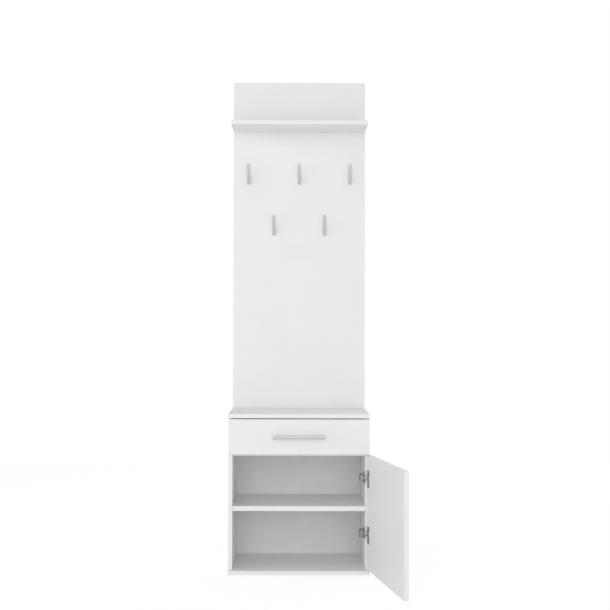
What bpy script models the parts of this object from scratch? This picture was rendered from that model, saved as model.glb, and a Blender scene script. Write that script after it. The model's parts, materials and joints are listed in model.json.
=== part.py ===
"""Hallway stand: a hook panel with a hat shelf on a shoe cabinet with a drawer and a hinged door.

The origin is the middle of the cabinet's underside. X runs to the right, Y to the back, Z up.
The door is built shut on an empty that stands on its swing axis, and that empty turns it open.
"""

import math

import bmesh
import bpy
from mathutils import Matrix, Vector

# Sizes of the whole stand
WIDTH = 0.540
DEPTH = 0.365
HEIGHT = 1.950
CABINET_HEIGHT = 0.611
BOARD = 0.016
SHELF_BOARD = 0.018
THIN_BOARD = 0.003
EDGE_RADIUS = 0.0006
GAP = 0.0003
PAST_FACE = 0.002  # how far a cutter runs on past the face that it opens

# Planes that the boards share
FRONT = -DEPTH / 2
BACK = DEPTH / 2
INSIDE_X = WIDTH / 2 - BOARD
SIDE_FRONT = FRONT + 0.0205
TOP_UNDERSIDE = CABINET_HEIGHT - BOARD
DIVIDER_BOTTOM = 0.451
DIVIDER_TOP = DIVIDER_BOTTOM + BOARD
SHELF_BOTTOM = 0.240
SHELF_TOP = SHELF_BOTTOM + SHELF_BOARD
REBATE = 0.008
BACK_BOARD_FRONT = BACK - GAP - THIN_BOARD
PANEL_FRONT = BACK - BOARD

# Hat shelf
HAT_SHELF_TOP = 1.761
HAT_SHELF_DEPTH = 0.200

# Hooks
HOOK_HEIGHT = 0.080
HOOK_WIDTH = 0.012
HOOK_THICKNESS = 0.0045
HOOK_FOOT_OUT = 0.008
HOOK_TIP_OUT = 0.037
HOOK_PITCH = 0.1038
UPPER_HOOKS_Z = 1.531
HOOK_ROW_DROP = 0.210
HOOK_SCREW_RISE = 0.021
HOOK_SCREW_REACH = 0.0075
HOOK_FOOT_Z = (0.010, 0.032)
HOOK_EDGE = 0.0006

# Drawer and door fronts
FRONT_WIDTH = 0.538
FRONT_INNER = SIDE_FRONT - 0.0025
FRONT_OUTER = FRONT_INNER - BOARD
DRAWER_FRONT_Z = (0.458, 0.5915)
DOOR_Z = (0.019, 0.455)

# Drawer box and its runners
DRAWER_HALF_WIDTH = 0.2415
DRAWER_LENGTH = 0.320
DRAWER_BOX_Z = (0.4775, 0.568)
DRAWER_FLOOR_Z = 0.484
GROOVE = 0.005
RUNNER_LENGTH = 0.300
RUNNER_SHEET = 0.0012
RUNNER_Z = (0.474, 0.500)
CABINET_ROLLER_RADIUS = 0.0105
DRAWER_ROLLER_RADIUS = 0.0102
ROLLER_WIDTH = 0.006
CABINET_ROLLER_Y = -0.140
DRAWER_ROLLER_Y = 0.136
ROLLER_EDGE = 0.0008
ROLLER_X = 0.24765
TRACK_PLAY = 0.0007
TRACK_REACH = 0.2434
LIP_REACH = 0.2509
DRAWER_TRACK_REACH = 0.2503
DRAWER_TRAY_REACH = 0.2295
AXLE_RADIUS = 0.0025
AXLE_PLAY = 0.0001
CABINET_AXLE_END = 0.2436
DRAWER_AXLE_END = 0.2516

# Bar handles
HANDLE_LENGTH = 0.200
HANDLE_HEIGHT = 0.0125
HANDLE_THICKNESS = 0.009
HANDLE_OUT = 0.030
HANDLE_SCREW_SPACING = 0.160
HANDLE_LEG_RADIUS = 0.0045
HANDLE_EDGE = 0.0012
HANDLE_SCREW_LENGTH = 0.030
DOOR_HANDLE_DROP = 0.0645

# Concealed hinges
DOOR_ANGLE = math.radians(100)
DOOR_AXIS = Vector((0.26502, FRONT_INNER - 0.00419, 0))
HINGES_Z = {"upper": 0.365, "lower": 0.153}
CUP_RADIUS = 0.0175
CUP_WALL = 0.001
CUP_DEPTH = 0.0115
CUP_X = FRONT_WIDTH / 2 - 0.005 - CUP_RADIUS
FLANGE = (0.033, 0.066)
FLANGE_SHEET = 0.0012
FLANGE_CORNER = 0.007
CUP_SCREW_RISE = 0.024
CUP_SCREW_HEAD = (0.0032, 0.002)
WING_Y = (-0.129, -0.116)
WING_HALF_HEIGHT = 0.0265
WING_SHEET = 0.0018
WING_SCREW_RISE = 0.0195
WING_SCREW_HEAD = (0.0042, 0.0015)
RAIL_X = 0.2465
RAIL_Y = (-0.152, -0.104)
RAIL_HALF_HEIGHT = 0.0108
ARM_HALF_HEIGHT = 0.013
ARM_SHEET = 0.0015
ARM_OPEN_X = 0.2515
ARM_REAR_Y = -0.102
ARM_KNUCKLE = 0.0036
LINK_PIVOT = Vector((0.249, -0.1635, 0))
LINK_LENGTH = 0.019
LINK_ANGLE = math.radians(-46)
LINK_HALF_HEIGHT = 0.006
LINK_HALF_SHEET = 0.0011
LINK_EYE_RADIUS = 0.0016
KNUCKLE_RADIUS = 0.0029
KNUCKLE_HALF_HEIGHT = 0.011
PIN_RADIUS = 0.0015
PIN_CLEARANCE = 0.00012

# Screws and shelf pins
SCREW_RADIUS = 0.002
SCREW_HEAD_RADIUS = 0.004
SCREW_HEAD_HEIGHT = 0.0022
HEAD_SUNK = 0.0005
BOARD_SCREW_LENGTH = 0.050
SHELF_SCREW_REACH = 0.032
CARCASS_SCREWS_Y = {"front": -0.120, "rear": 0.130}
PANEL_SCREWS_Y = PANEL_FRONT + 0.0065
PAIR_X = 0.190
SHELF_PINS_Y = {"front": -0.125, "rear": 0.145}
SHELF_PIN_RADIUS = 0.0025
SHELF_PIN_OUT = 0.009
SHELF_PIN_IN = 0.007

FINISHES = {
    "white melamine": ("E7E6E6", 0.45, 0.0),
    "white fibreboard": ("DAD8D5", 0.6, 0.0),
    "satin metal": ("C2C2C2", 0.35, 0.9),
    "nickelled steel": ("A9A7A3", 0.3, 1.0),
    "zinc screw": ("B4B4AE", 0.35, 1.0),
    "white lacquered screw": ("E2E2DF", 0.35, 0.0),
    "white enamelled steel": ("DEDEDB", 0.4, 0.0),
    "grey nylon": ("8E9092", 0.5, 0.0),
}


def clear_scene():
    for obj in list(bpy.data.objects):
        bpy.data.objects.remove(obj)
    for group in list(bpy.data.collections):
        bpy.data.collections.remove(group)


def collection(name):
    group = bpy.data.collections.new(name)
    bpy.context.scene.collection.children.link(group)
    return group


def linear(hex_colour):
    """The hex colour's channels as linear light."""
    channels = [int(hex_colour[i : i + 2], 16) / 255 for i in (0, 2, 4)]
    return [c / 12.92 if c <= 0.04045 else ((c + 0.055) / 1.055) ** 2.4 for c in channels]


def paint(obj, finish):
    """Gives the object its own material in that finish."""
    colour, roughness, metallic = FINISHES[finish]
    made = bpy.data.materials.new(f"{finish} of {obj.name}")
    made.use_nodes = True
    shader = made.node_tree.nodes["Principled BSDF"]
    shader.inputs["Base Color"].default_value = (*linear(colour), 1)
    shader.inputs["Roughness"].default_value = roughness
    shader.inputs["Metallic"].default_value = metallic
    obj.data.materials.clear()
    obj.data.materials.append(made)


def mesh_object(name, mesh_maker, location=(0, 0, 0)):
    shape = bmesh.new()
    mesh_maker(shape)
    mesh = bpy.data.meshes.new(name)
    shape.to_mesh(mesh)
    shape.free()
    obj = bpy.data.objects.new(name, mesh)
    obj.location = location
    return obj


def as_part(obj, finish, parent=None):
    parts.objects.link(obj)
    paint(obj, finish)
    return hang(obj, parent)


def as_cutter(obj, parent=None):
    cutters.objects.link(obj)
    obj.hide_render = True
    obj.display_type = "WIRE"
    return hang(obj, parent)


def hang(obj, parent):
    """Parents the object to an empty, where the object's place was given before the empty turned."""
    if parent:
        obj.location = Vector(obj.location) - parent.location
        obj.parent = parent
    return obj


def axis_empty(name, location, turn=0.0):
    empty = bpy.data.objects.new(name, None)
    empty.location = location
    empty.rotation_euler.z = turn
    parts.objects.link(empty)
    return empty


def block(name, low, high):
    """A box between two corners, with its origin at its middle."""
    low, high = Vector(low), Vector(high)
    size = high - low
    return mesh_object(
        name,
        lambda shape: bmesh.ops.create_cube(shape, size=1, matrix=Matrix.Diagonal((*size, 1))),
        (low + high) / 2,
    )


def rounded(obj, radius, segments=2):
    bevel = obj.modifiers.new("Rounded edges", "BEVEL")
    bevel.width = radius
    bevel.segments = segments
    bevel.limit_method = "ANGLE"
    return obj


def board(name, low, high, finish="white melamine", parent=None):
    """A board with eased edges."""
    return as_part(rounded(block(name, low, high), EDGE_RADIUS), finish, parent)


def rod(name, start, end, radius, sides=20):
    """A cylinder from one point to another."""
    start, end = Vector(start), Vector(end)
    along = end - start
    turn = Vector((0, 0, 1)).rotation_difference(along).to_matrix().to_4x4()
    return mesh_object(
        name,
        lambda shape: bmesh.ops.create_cone(
            shape, cap_ends=True, segments=sides, radius1=radius, radius2=radius,
            depth=along.length, matrix=turn,
        ),
        (start + end) / 2,
    )


def extruded(name, outline, thickness, turn=None, location=(0, 0, 0), bevel=0.0):
    """A mesh of a flat outline in X and Y, given a thickness centred on it, turned and then placed."""
    curve = bpy.data.curves.new(name, "CURVE")
    curve.dimensions = "2D"
    curve.fill_mode = "BOTH"
    curve.extrude = thickness / 2 - bevel
    curve.bevel_depth = bevel
    curve.offset = -bevel
    curve.bevel_resolution = 1
    spline = curve.splines.new("POLY")
    spline.points.add(len(outline) - 1)
    for point, (x, y) in zip(spline.points, outline):
        point.co = (x, y, 0, 1)
    spline.use_cyclic_u = True
    flat = bpy.data.objects.new(name, curve)
    bpy.context.scene.collection.objects.link(flat)
    graph = bpy.context.evaluated_depsgraph_get()
    mesh = bpy.data.meshes.new_from_object(flat.evaluated_get(graph))
    bpy.data.objects.remove(flat)
    bpy.data.curves.remove(curve)
    shape = bmesh.new()
    shape.from_mesh(mesh)
    bmesh.ops.remove_doubles(shape, verts=shape.verts, dist=1e-6)
    bmesh.ops.recalc_face_normals(shape, faces=shape.faces)
    if turn:
        bmesh.ops.transform(shape, matrix=turn, verts=shape.verts)
    shape.to_mesh(mesh)
    shape.free()
    obj = bpy.data.objects.new(name, mesh)
    obj.location = location
    return obj


def turned(name, profile, location, axis, steps=20):
    """A shape turned from (radius, height) points, top to bottom, with its top towards the axis given."""
    mesh = bpy.data.meshes.new(name)
    points = [(radius, 0, height) for radius, height in profile]
    mesh.from_pydata(points, [(i, i + 1) for i in range(len(points) - 1)], [])
    obj = bpy.data.objects.new(name, mesh)
    obj.location = location
    obj.rotation_euler = Vector((0, 0, 1)).rotation_difference(Vector(axis)).to_euler()
    spin = obj.modifiers.new("Turned", "SCREW")
    spin.steps = spin.render_steps = steps
    spin.use_merge_vertices = True
    spin.merge_threshold = 0.00001
    return obj


def arc(centre, radius, start, end, steps):
    """Points of an arc, its angles in degrees."""
    angles = [math.radians(start + (end - start) * i / steps) for i in range(steps + 1)]
    return [(centre[0] + radius * math.cos(a), centre[1] + radius * math.sin(a)) for a in angles]


def combine(obj, tool, operation="DIFFERENCE"):
    boolean = obj.modifiers.new(f"{operation.title()} {tool.name}", "BOOLEAN")
    boolean.operation = operation
    boolean.object = tool
    boolean.solver = "EXACT"
    return obj


def drill(obj, name, start, end, radius, parent=None):
    """Cuts a round hole from one point to another."""
    return combine(obj, as_cutter(rod(name, start, end, radius), parent))


def screw(name, head, axis, length, finish="zinc screw", parent=None):
    """A pan-head screw. Its head's top is at the point given, and its axis points out of the work."""
    height = SCREW_HEAD_HEIGHT
    profile = [
        (0, 0),
        (SCREW_HEAD_RADIUS * 0.7, 0),
        (SCREW_HEAD_RADIUS, -height * 0.45),
        (SCREW_HEAD_RADIUS, -height),
        (SCREW_RADIUS, -height),
        (SCREW_RADIUS, -length + SCREW_RADIUS),
        (0, -length),
    ]
    return as_part(turned(name, profile, head, axis), finish, parent)


def fasten(name, through, into, head, out, length, pocket=False, finish="zinc screw", parent=None):
    """A screw, and the hole it runs in through one piece and into another. A pocket sinks its head."""
    head, out = Vector(head), Vector(out)
    screw(name, head, out, length, finish, parent)
    tip = head - out * (length + GAP)
    hole = as_cutter(rod(f"{name}_hole", head + out * PAST_FACE, tip, SCREW_RADIUS + GAP), parent)
    combine(through, hole)
    combine(into, hole)
    if pocket:
        floor = head - out * (SCREW_HEAD_HEIGHT + GAP)
        drill(through, f"{name}_pocket", head + out * PAST_FACE, floor, SCREW_HEAD_RADIUS + GAP, parent)


def side_name(sign):
    return "left" if sign < 0 else "right"


def mirrored_x(sign, near, far):
    """The X range between two distances from the middle, on the side given, lowest first."""
    return sorted((sign * near, sign * far))


# ---------------------------------------------------------------- cabinet


def cabinet():
    half = WIDTH / 2
    bottom = board("bottom_board", (-half, FRONT, 0), (half, BACK, BOARD))
    top = board("top_board", (-half, FRONT, TOP_UNDERSIDE), (half, BACK, CABINET_HEIGHT))
    sides = {}
    for sign in (-1, 1):
        left, right = mirrored_x(sign, INSIDE_X, half)
        sides[sign] = board(
            f"{side_name(sign)}_side",
            (left, SIDE_FRONT, BOARD + GAP),
            (right, BACK, TOP_UNDERSIDE - GAP),
        )
    inner = INSIDE_X - GAP
    board(
        "divider_board",
        (-inner, SIDE_FRONT, DIVIDER_BOTTOM),
        (inner, BACK_BOARD_FRONT - GAP, DIVIDER_TOP),
    )
    board(
        "inner_shelf",
        (-inner, SIDE_FRONT + 0.002, SHELF_BOTTOM),
        (inner, BACK_BOARD_FRONT - GAP, SHELF_TOP),
    )
    back_board(bottom, top, sides)
    shelf_pins(sides)
    carcass_screws(bottom, sides)
    return top


def back_board(bottom, top, sides):
    """The thin back lies in a rebate cut round the cabinet's rear edges."""
    half = INSIDE_X + REBATE
    low = (-half, BACK_BOARD_FRONT, BOARD - REBATE)
    high = (half, BACK - GAP, TOP_UNDERSIDE + REBATE)
    as_part(block("cabinet_back", low, high), "white fibreboard")
    rebate = as_cutter(
        block(
            "rebate",
            Vector(low) - Vector((GAP, GAP, GAP)),
            Vector(high) + Vector((GAP, 4 * GAP, GAP)),
        )
    )
    for edge in (bottom, top, *sides.values()):
        combine(edge, rebate)


def carcass_screws(bottom, sides):
    """Screws up through the bottom board into each side, their heads sunk in its underside."""
    for sign, side in sides.items():
        for place, y in CARCASS_SCREWS_Y.items():
            name = f"carcass_screw_{side_name(sign)}_{place}"
            head = (sign * (INSIDE_X + BOARD / 2), y, HEAD_SUNK)
            fasten(name, bottom, side, head, (0, 0, -1), BOARD_SCREW_LENGTH, pocket=True)


def shelf_pins(sides):
    """Four pins in holes of the sides, under the inner shelf."""
    for sign, side in sides.items():
        for place, y in SHELF_PINS_Y.items():
            name = f"shelf_pin_{side_name(sign)}_{place}"
            z = SHELF_BOTTOM - GAP - SHELF_PIN_RADIUS
            profile = [
                (0, SHELF_PIN_OUT),
                (SHELF_PIN_RADIUS, SHELF_PIN_OUT),
                (SHELF_PIN_RADIUS, -SHELF_PIN_IN),
                (0, -SHELF_PIN_IN),
            ]
            face = (sign * INSIDE_X, y, z)
            as_part(turned(name, profile, face, (-sign, 0, 0), 16), "nickelled steel")
            inside = (sign * (INSIDE_X + SHELF_PIN_IN + 3 * GAP), y, z)
            outside = (sign * (INSIDE_X - PAST_FACE), y, z)
            drill(side, f"{name}_hole", inside, outside, SHELF_PIN_RADIUS + GAP)


# ---------------------------------------------------------------- hook panel


def hook_panel(top):
    half = WIDTH / 2
    panel = board(
        "hook_panel", (-half, PANEL_FRONT, CABINET_HEIGHT + GAP), (half, BACK, HEIGHT)
    )
    shelf_rear = PANEL_FRONT - GAP
    shelf = board(
        "hat_shelf",
        (-half, shelf_rear - HAT_SHELF_DEPTH, HAT_SHELF_TOP - BOARD),
        (half, shelf_rear, HAT_SHELF_TOP),
    )
    shelf_screws(panel, shelf)
    panel_screws(panel, top)
    lower_z = UPPER_HOOKS_Z - HOOK_ROW_DROP
    places = [(2 * i * HOOK_PITCH, UPPER_HOOKS_Z) for i in (-1, 0, 1)]
    places += [(i * HOOK_PITCH, lower_z) for i in (-1, 1)]
    for number, (x, z) in enumerate(places, 1):
        hook(panel, number, x, z)


def rear_screw(panel, into, name, x, z, reach):
    """A screw from the panel's rear face, its head in a pocket, that runs on past its front face."""
    length = BOARD - HEAD_SUNK + reach
    fasten(name, panel, into, (x, BACK - HEAD_SUNK, z), (0, 1, 0), length, pocket=True)


def shelf_screws(panel, shelf):
    for sign in (-1, 1):
        name = f"hat_shelf_screw_{side_name(sign)}"
        rear_screw(panel, shelf, name, sign * PAIR_X, HAT_SHELF_TOP - BOARD / 2, SHELF_SCREW_REACH)


def panel_screws(panel, top):
    """Two screws up through the top board into the panel's lower edge."""
    head_z = TOP_UNDERSIDE - SCREW_HEAD_HEIGHT - GAP
    for sign in (-1, 1):
        head = (sign * PAIR_X, PANEL_SCREWS_Y, head_z)
        fasten(f"panel_screw_{side_name(sign)}", top, panel, head, (0, 0, -1), BOARD_SCREW_LENGTH)


def hook(panel, number, x, z):
    """A flat bar that leans out from a short foot. Its outline is its side view: out, and up."""
    lean = Vector((HOOK_TIP_OUT - HOOK_FOOT_OUT, HOOK_HEIGHT)).normalized()
    across = Vector((lean.y, -lean.x)) * HOOK_THICKNESS
    inner_low = Vector((HOOK_FOOT_OUT - HOOK_THICKNESS, 0))
    inner_high = Vector((HOOK_TIP_OUT - HOOK_THICKNESS, HOOK_HEIGHT - HOOK_THICKNESS / 2))

    def on_bar(height):
        return inner_low.lerp(inner_high, height / inner_high.y)

    foot_low, foot_high = HOOK_FOOT_Z
    tip_middle = inner_high + across / 2
    tip_turn = math.degrees(math.atan2(across.y, across.x))
    low_middle = inner_low + across / 2 + Vector((0, HOOK_THICKNESS / 2))
    outline = [
        (GAP, foot_low),
        tuple(on_bar(foot_low - 0.001)),
        *arc(low_middle, HOOK_THICKNESS / 2, 180 + tip_turn, 360 + tip_turn, 6),
        *arc(tip_middle, HOOK_THICKNESS / 2, tip_turn, 180 + tip_turn, 6),
        tuple(on_bar(foot_high + 0.003)),
        (GAP, foot_high),
    ]
    upright = Matrix(((0, 0, 1, 0), (-1, 0, 0, 0), (0, 1, 0, 0), (0, 0, 0, 1)))
    name = f"hook_{number}"
    bar = extruded(name, outline, HOOK_WIDTH, upright, (x, PANEL_FRONT, z), HOOK_EDGE)
    as_part(bar, "satin metal")
    rear_screw(panel, bar, f"hook_screw_{number}", x, z + HOOK_SCREW_RISE, HOOK_SCREW_REACH)


# ---------------------------------------------------------------- handles


def handle(front, name, z, parent, screw_finish="zinc screw"):
    """A bar with round ends on two legs, held by two screws through the front."""
    radius = HANDLE_HEIGHT / 2
    middle = HANDLE_LENGTH / 2 - radius
    outline = arc((middle, 0), radius, -90, 90, 12) + arc((-middle, 0), radius, 90, 270, 12)
    lie_flat = Matrix.Rotation(math.radians(90), 4, "X")
    bar_y = FRONT_OUTER - HANDLE_OUT + HANDLE_THICKNESS / 2
    bar = extruded(name, outline, HANDLE_THICKNESS, lie_flat, (0, bar_y, z), HANDLE_EDGE)
    as_part(bar, "satin metal", parent)
    for sign in (-1, 1):
        side = side_name(sign)
        x = sign * HANDLE_SCREW_SPACING / 2
        foot = (x, FRONT_OUTER - GAP, z)
        leg = rod(f"{name}_leg_{side}", (x, bar_y, z), foot, HANDLE_LEG_RADIUS)
        combine(bar, as_cutter(leg, parent), "UNION")
        head = (x, FRONT_INNER + SCREW_HEAD_HEIGHT + GAP, z)
        fasten(
            f"{name}_screw_{side}", front, bar, head, (0, 1, 0), HANDLE_SCREW_LENGTH,
            finish=screw_finish, parent=parent,
        )


# ---------------------------------------------------------------- drawer


def drawer():
    slide = axis_empty("drawer_slide", (0, FRONT_INNER, DRAWER_FLOOR_Z))
    half = FRONT_WIDTH / 2
    front = board(
        "drawer_front",
        (-half, FRONT_OUTER, DRAWER_FRONT_Z[0]),
        (half, FRONT_INNER, DRAWER_FRONT_Z[1]),
        parent=slide,
    )
    low, high = DRAWER_BOX_Z
    start = FRONT_INNER + GAP
    end = start + DRAWER_LENGTH
    inner = DRAWER_HALF_WIDTH - BOARD
    boards = [front]
    for sign in (-1, 1):
        left, right = mirrored_x(sign, inner, DRAWER_HALF_WIDTH)
        boards.append(
            board(
                f"drawer_{side_name(sign)}_side", (left, start, low), (right, end, high), parent=slide
            )
        )
    rear_low, rear_high = (-inner + GAP, end - BOARD, low), (inner - GAP, end, high)
    boards.append(board("drawer_back", rear_low, rear_high, parent=slide))
    reach = inner + GROOVE
    floor_low = Vector((-reach, FRONT_INNER - GROOVE, DRAWER_FLOOR_Z))
    floor_high = Vector((reach, end - BOARD + GROOVE, DRAWER_FLOOR_Z + THIN_BOARD))
    as_part(block("drawer_bottom", floor_low, floor_high), "white fibreboard", slide)
    play = Vector((GAP, GAP, GAP))
    groove = as_cutter(block("drawer_groove", floor_low - play, floor_high + play), slide)
    for piece in boards:
        combine(piece, groove)
    handle(front, "drawer_handle", sum(DRAWER_FRONT_Z) / 2, slide)
    for sign in (-1, 1):
        runners(sign, slide)


def channel(name, sign, boxes, parent=None):
    """One body of thin walls, given as boxes measured outwards from the middle, that overlap."""
    pieces = []
    for number, ((near, far), y, z) in enumerate(boxes):
        left, right = mirrored_x(sign, near, far)
        wall_name = f"{name}_{number}" if number else name
        pieces.append(block(wall_name, (left, y[0], z[0]), (right, y[1], z[1])))
    body = as_part(pieces[0], "white enamelled steel", parent)
    for piece in pieces[1:]:
        combine(body, as_cutter(piece, parent), "UNION")
    return body


def axle(body, name, sign, near, far, y, z, parent=None):
    combine(
        body,
        as_cutter(rod(name, (sign * near, y, z), (sign * far, y, z), AXLE_RADIUS), parent),
        "UNION",
    )


def runners(sign, slide):
    """A cabinet runner with a roller at its front end, and a drawer runner with one at its rear end."""
    side = side_name(sign)
    low, high = RUNNER_Z
    sheet = RUNNER_SHEET
    wall = INSIDE_X - GAP
    start = SIDE_FRONT + 0.008
    run = (start, start + RUNNER_LENGTH)
    fixed = channel(
        f"cabinet_runner_{side}",
        sign,
        [
            ((wall - sheet, wall), run, (low, high)),
            ((TRACK_REACH, wall - sheet / 2), run, (low, low + sheet)),
            ((LIP_REACH, wall - sheet / 2), run, (high - sheet, high)),
        ],
    )
    face = DRAWER_HALF_WIDTH + GAP
    drawer_start = FRONT_INNER + 0.002
    drawer_run = (drawer_start, drawer_start + RUNNER_LENGTH + 0.008)
    cabinet_z = low + sheet + TRACK_PLAY + CABINET_ROLLER_RADIUS
    drawer_z = low + sheet + GAP + DRAWER_ROLLER_RADIUS
    track = cabinet_z + CABINET_ROLLER_RADIUS + GAP
    tray = low + 0.002
    moving = channel(
        f"drawer_runner_{side}",
        sign,
        [
            ((face, face + sheet), drawer_run, (tray, high)),
            ((face + sheet / 2, DRAWER_TRACK_REACH), drawer_run, (track, track + sheet)),
            ((DRAWER_TRAY_REACH, face + sheet / 2), drawer_run, (tray, tray + sheet)),
        ],
        slide,
    )
    root = wall - sheet / 2
    axle(fixed, f"cabinet_axle_{side}", sign, CABINET_AXLE_END, root, CABINET_ROLLER_Y, cabinet_z)
    root = face + sheet / 2
    axle(moving, f"drawer_axle_{side}", sign, root, DRAWER_AXLE_END, DRAWER_ROLLER_Y, drawer_z, slide)
    cabinet_centre = (sign * ROLLER_X, CABINET_ROLLER_Y, cabinet_z)
    drawer_centre = (sign * ROLLER_X, DRAWER_ROLLER_Y, drawer_z)
    roller(f"cabinet_roller_{side}", cabinet_centre, CABINET_ROLLER_RADIUS)
    roller(f"drawer_roller_{side}", drawer_centre, DRAWER_ROLLER_RADIUS)


def roller(name, centre, radius):
    """A wheel with a bore that runs on its axle, drawn as the closed outline of its section."""
    half = ROLLER_WIDTH / 2
    bore = AXLE_RADIUS + AXLE_PLAY
    profile = [
        (bore, half),
        (radius - ROLLER_EDGE, half),
        (radius, half - ROLLER_EDGE),
        (radius, -half + ROLLER_EDGE),
        (radius - ROLLER_EDGE, -half),
        (bore, -half),
        (bore, half),
    ]
    as_part(turned(name, profile, centre, (1, 0, 0), 32), "grey nylon")


# ---------------------------------------------------------------- door and hinges


def door():
    swing = axis_empty("door_swing", DOOR_AXIS, DOOR_ANGLE)
    half = FRONT_WIDTH / 2
    leaf = board(
        "door_panel",
        (-half, FRONT_OUTER, DOOR_Z[0]),
        (half, FRONT_INNER, DOOR_Z[1]),
        parent=swing,
    )
    handle(leaf, "door_handle", DOOR_Z[1] - DOOR_HANDLE_DROP, swing, "white lacquered screw")
    for place, z in HINGES_Z.items():
        hinge_cup(leaf, place, z, swing)
        hinge_plate(place, z)
        hinge_arm(place, z)
        hinge_link(place, z)


def hinge_cup(leaf, place, z, swing):
    """A round cup let into the door, with a flange on the door's inner face."""
    width, height = (size / 2 for size in FLANGE)
    inset = FLANGE_CORNER
    outline = []
    for (x, y), start in zip(((1, 1), (-1, 1), (-1, -1), (1, -1)), (0, 90, 180, 270)):
        outline += arc((x * (width - inset), y * (height - inset)), inset, start, start + 90, 5)
    upright = Matrix.Rotation(math.radians(90), 4, "X")
    face = FRONT_INNER + GAP
    top = face + FLANGE_SHEET / 2
    plate = extruded(f"{place}_hinge_cup", outline, FLANGE_SHEET, upright, (CUP_X, top, z))
    as_part(plate, "nickelled steel", swing)
    floor = FRONT_INNER - CUP_DEPTH
    cup = rod(f"{place}_cup_body", (CUP_X, floor, z), (CUP_X, top, z), CUP_RADIUS, 40)
    combine(plate, as_cutter(cup, swing), "UNION")
    hollow = rod(
        f"{place}_cup_hollow",
        (CUP_X, floor + CUP_WALL, z), (CUP_X, top + PAST_FACE, z), CUP_RADIUS - CUP_WALL, 40,
    )
    combine(plate, as_cutter(hollow, swing))
    for sign in (-1, 1):
        at = z + sign * CUP_SCREW_RISE
        radius, height = CUP_SCREW_HEAD
        seat, crown = (CUP_X, face, at), (CUP_X, face + height, at)
        head = rod(f"{place}_cup_screw_{sign + 1}", seat, crown, radius, 16)
        combine(plate, as_cutter(head, swing), "UNION")
    bottom, mouth = (CUP_X, floor - GAP, z), (CUP_X, FRONT_INNER + PAST_FACE, z)
    drill(leaf, f"{place}_cup_hole", bottom, mouth, CUP_RADIUS + GAP, swing)


def hinge_plate(place, z):
    """The mounting plate on the side's inner face: two wings with their screws, and a rail for the arm."""
    name = f"{place}_hinge_plate"
    wall = INSIDE_X - GAP
    base = wall - WING_SHEET
    inside = base + 0.001
    wing_low = (base, WING_Y[0], z - WING_HALF_HEIGHT)
    wing_high = (wall, WING_Y[1], z + WING_HALF_HEIGHT)
    wings = rounded(block(name, wing_low, wing_high), 0.0005)
    as_part(wings, "nickelled steel")
    rail_low = (RAIL_X, RAIL_Y[0], z - RAIL_HALF_HEIGHT)
    rail_high = (inside, RAIL_Y[1], z + RAIL_HALF_HEIGHT)
    combine(wings, as_cutter(block(f"{name}_rail", rail_low, rail_high)), "UNION")
    radius, height = WING_SCREW_HEAD
    for sign in (-1, 1):
        at = (sum(WING_Y) / 2, z + sign * WING_SCREW_RISE)
        head = rod(f"{name}_screw_{sign + 1}", (base - height, *at), (inside, *at), radius, 16)
        combine(wings, as_cutter(head), "UNION")


def hinge_arm(place, z):
    """A pressed channel over the plate's rail. Its web faces inwards, and its cheeks hold the pin."""
    name = f"{place}_hinge_arm"
    outline = [
        (ARM_OPEN_X, ARM_REAR_Y),
        (0.2430, ARM_REAR_Y),
        (0.2385, -0.110),
        (0.2315, -0.138),
        (0.2315, -0.154),
        (0.2380, -0.1622),
        (0.2400, -0.1668),
        (0.2440, -0.1680),
        *arc(LINK_PIVOT, ARM_KNUCKLE, -90, 20, 5),
        (ARM_OPEN_X, -0.156),
    ]
    arm = extruded(name, outline, 2 * ARM_HALF_HEIGHT, None, (0, 0, z))
    as_part(arm, "nickelled steel")
    # The hollow follows the web one sheet behind it, and runs out past the arm's open side and its nose.
    hollow = [
        (0.2700, ARM_REAR_Y - ARM_SHEET),
        (0.2440, ARM_REAR_Y - ARM_SHEET),
        (0.2399, -0.1108),
        (0.2330, -0.1382),
        (0.2330, -0.1535),
        (0.2372, -0.1588),
        (0.2340, -0.1640),
        (0.2340, -0.1900),
        (0.2700, -0.1900),
    ]
    tool = extruded(f"{name}_hollow", hollow, 2 * (ARM_HALF_HEIGHT - ARM_SHEET), None, (0, 0, z))
    combine(arm, as_cutter(tool))
    reach = Vector((0, 0, ARM_HALF_HEIGHT - ARM_SHEET / 2))
    centre = LINK_PIVOT + Vector((0, 0, z))
    pin = rod(f"{name}_pin", centre - reach, centre + reach, PIN_RADIUS, 16)
    combine(arm, as_cutter(pin), "UNION")


def hinge_link(place, z):
    """A pressed link that turns on the arm's pin and reaches into the cup."""
    name = f"{place}_hinge_link"
    centre = LINK_PIVOT + Vector((0, 0, z))
    swing = axis_empty(f"{name}_swing", centre, LINK_ANGLE)
    up = Vector((0, 0, KNUCKLE_HALF_HEIGHT))
    knuckle = rod(name, centre - up, centre + up, KNUCKLE_RADIUS, 20)
    as_part(knuckle, "nickelled steel", swing)
    leaf = block(
        f"{name}_leaf",
        centre + Vector((0.001, -LINK_HALF_SHEET, -LINK_HALF_HEIGHT)),
        centre + Vector((LINK_LENGTH, LINK_HALF_SHEET, LINK_HALF_HEIGHT)),
    )
    tip = centre + Vector((LINK_LENGTH, 0, 0))
    half = Vector((0, 0, LINK_HALF_HEIGHT))
    eye = rod(f"{name}_eye", tip - half, tip + half, LINK_EYE_RADIUS, 16)
    for piece in (leaf, eye):
        combine(knuckle, as_cutter(piece, swing), "UNION")
    past = up * 1.1
    bore = rod(f"{name}_bore", centre - past, centre + past, PIN_RADIUS + PIN_CLEARANCE, 16)
    combine(knuckle, as_cutter(bore, swing))


clear_scene()
parts = collection("hallway stand")
cutters = collection("cutters")
hook_panel(cabinet())
drawer()
door()
for made in parts.objects:
    if made.type == "MESH":
        made.data.shade_smooth()
        made.data.set_sharp_from_angle(angle=math.radians(35))
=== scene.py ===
import json
import math

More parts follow.
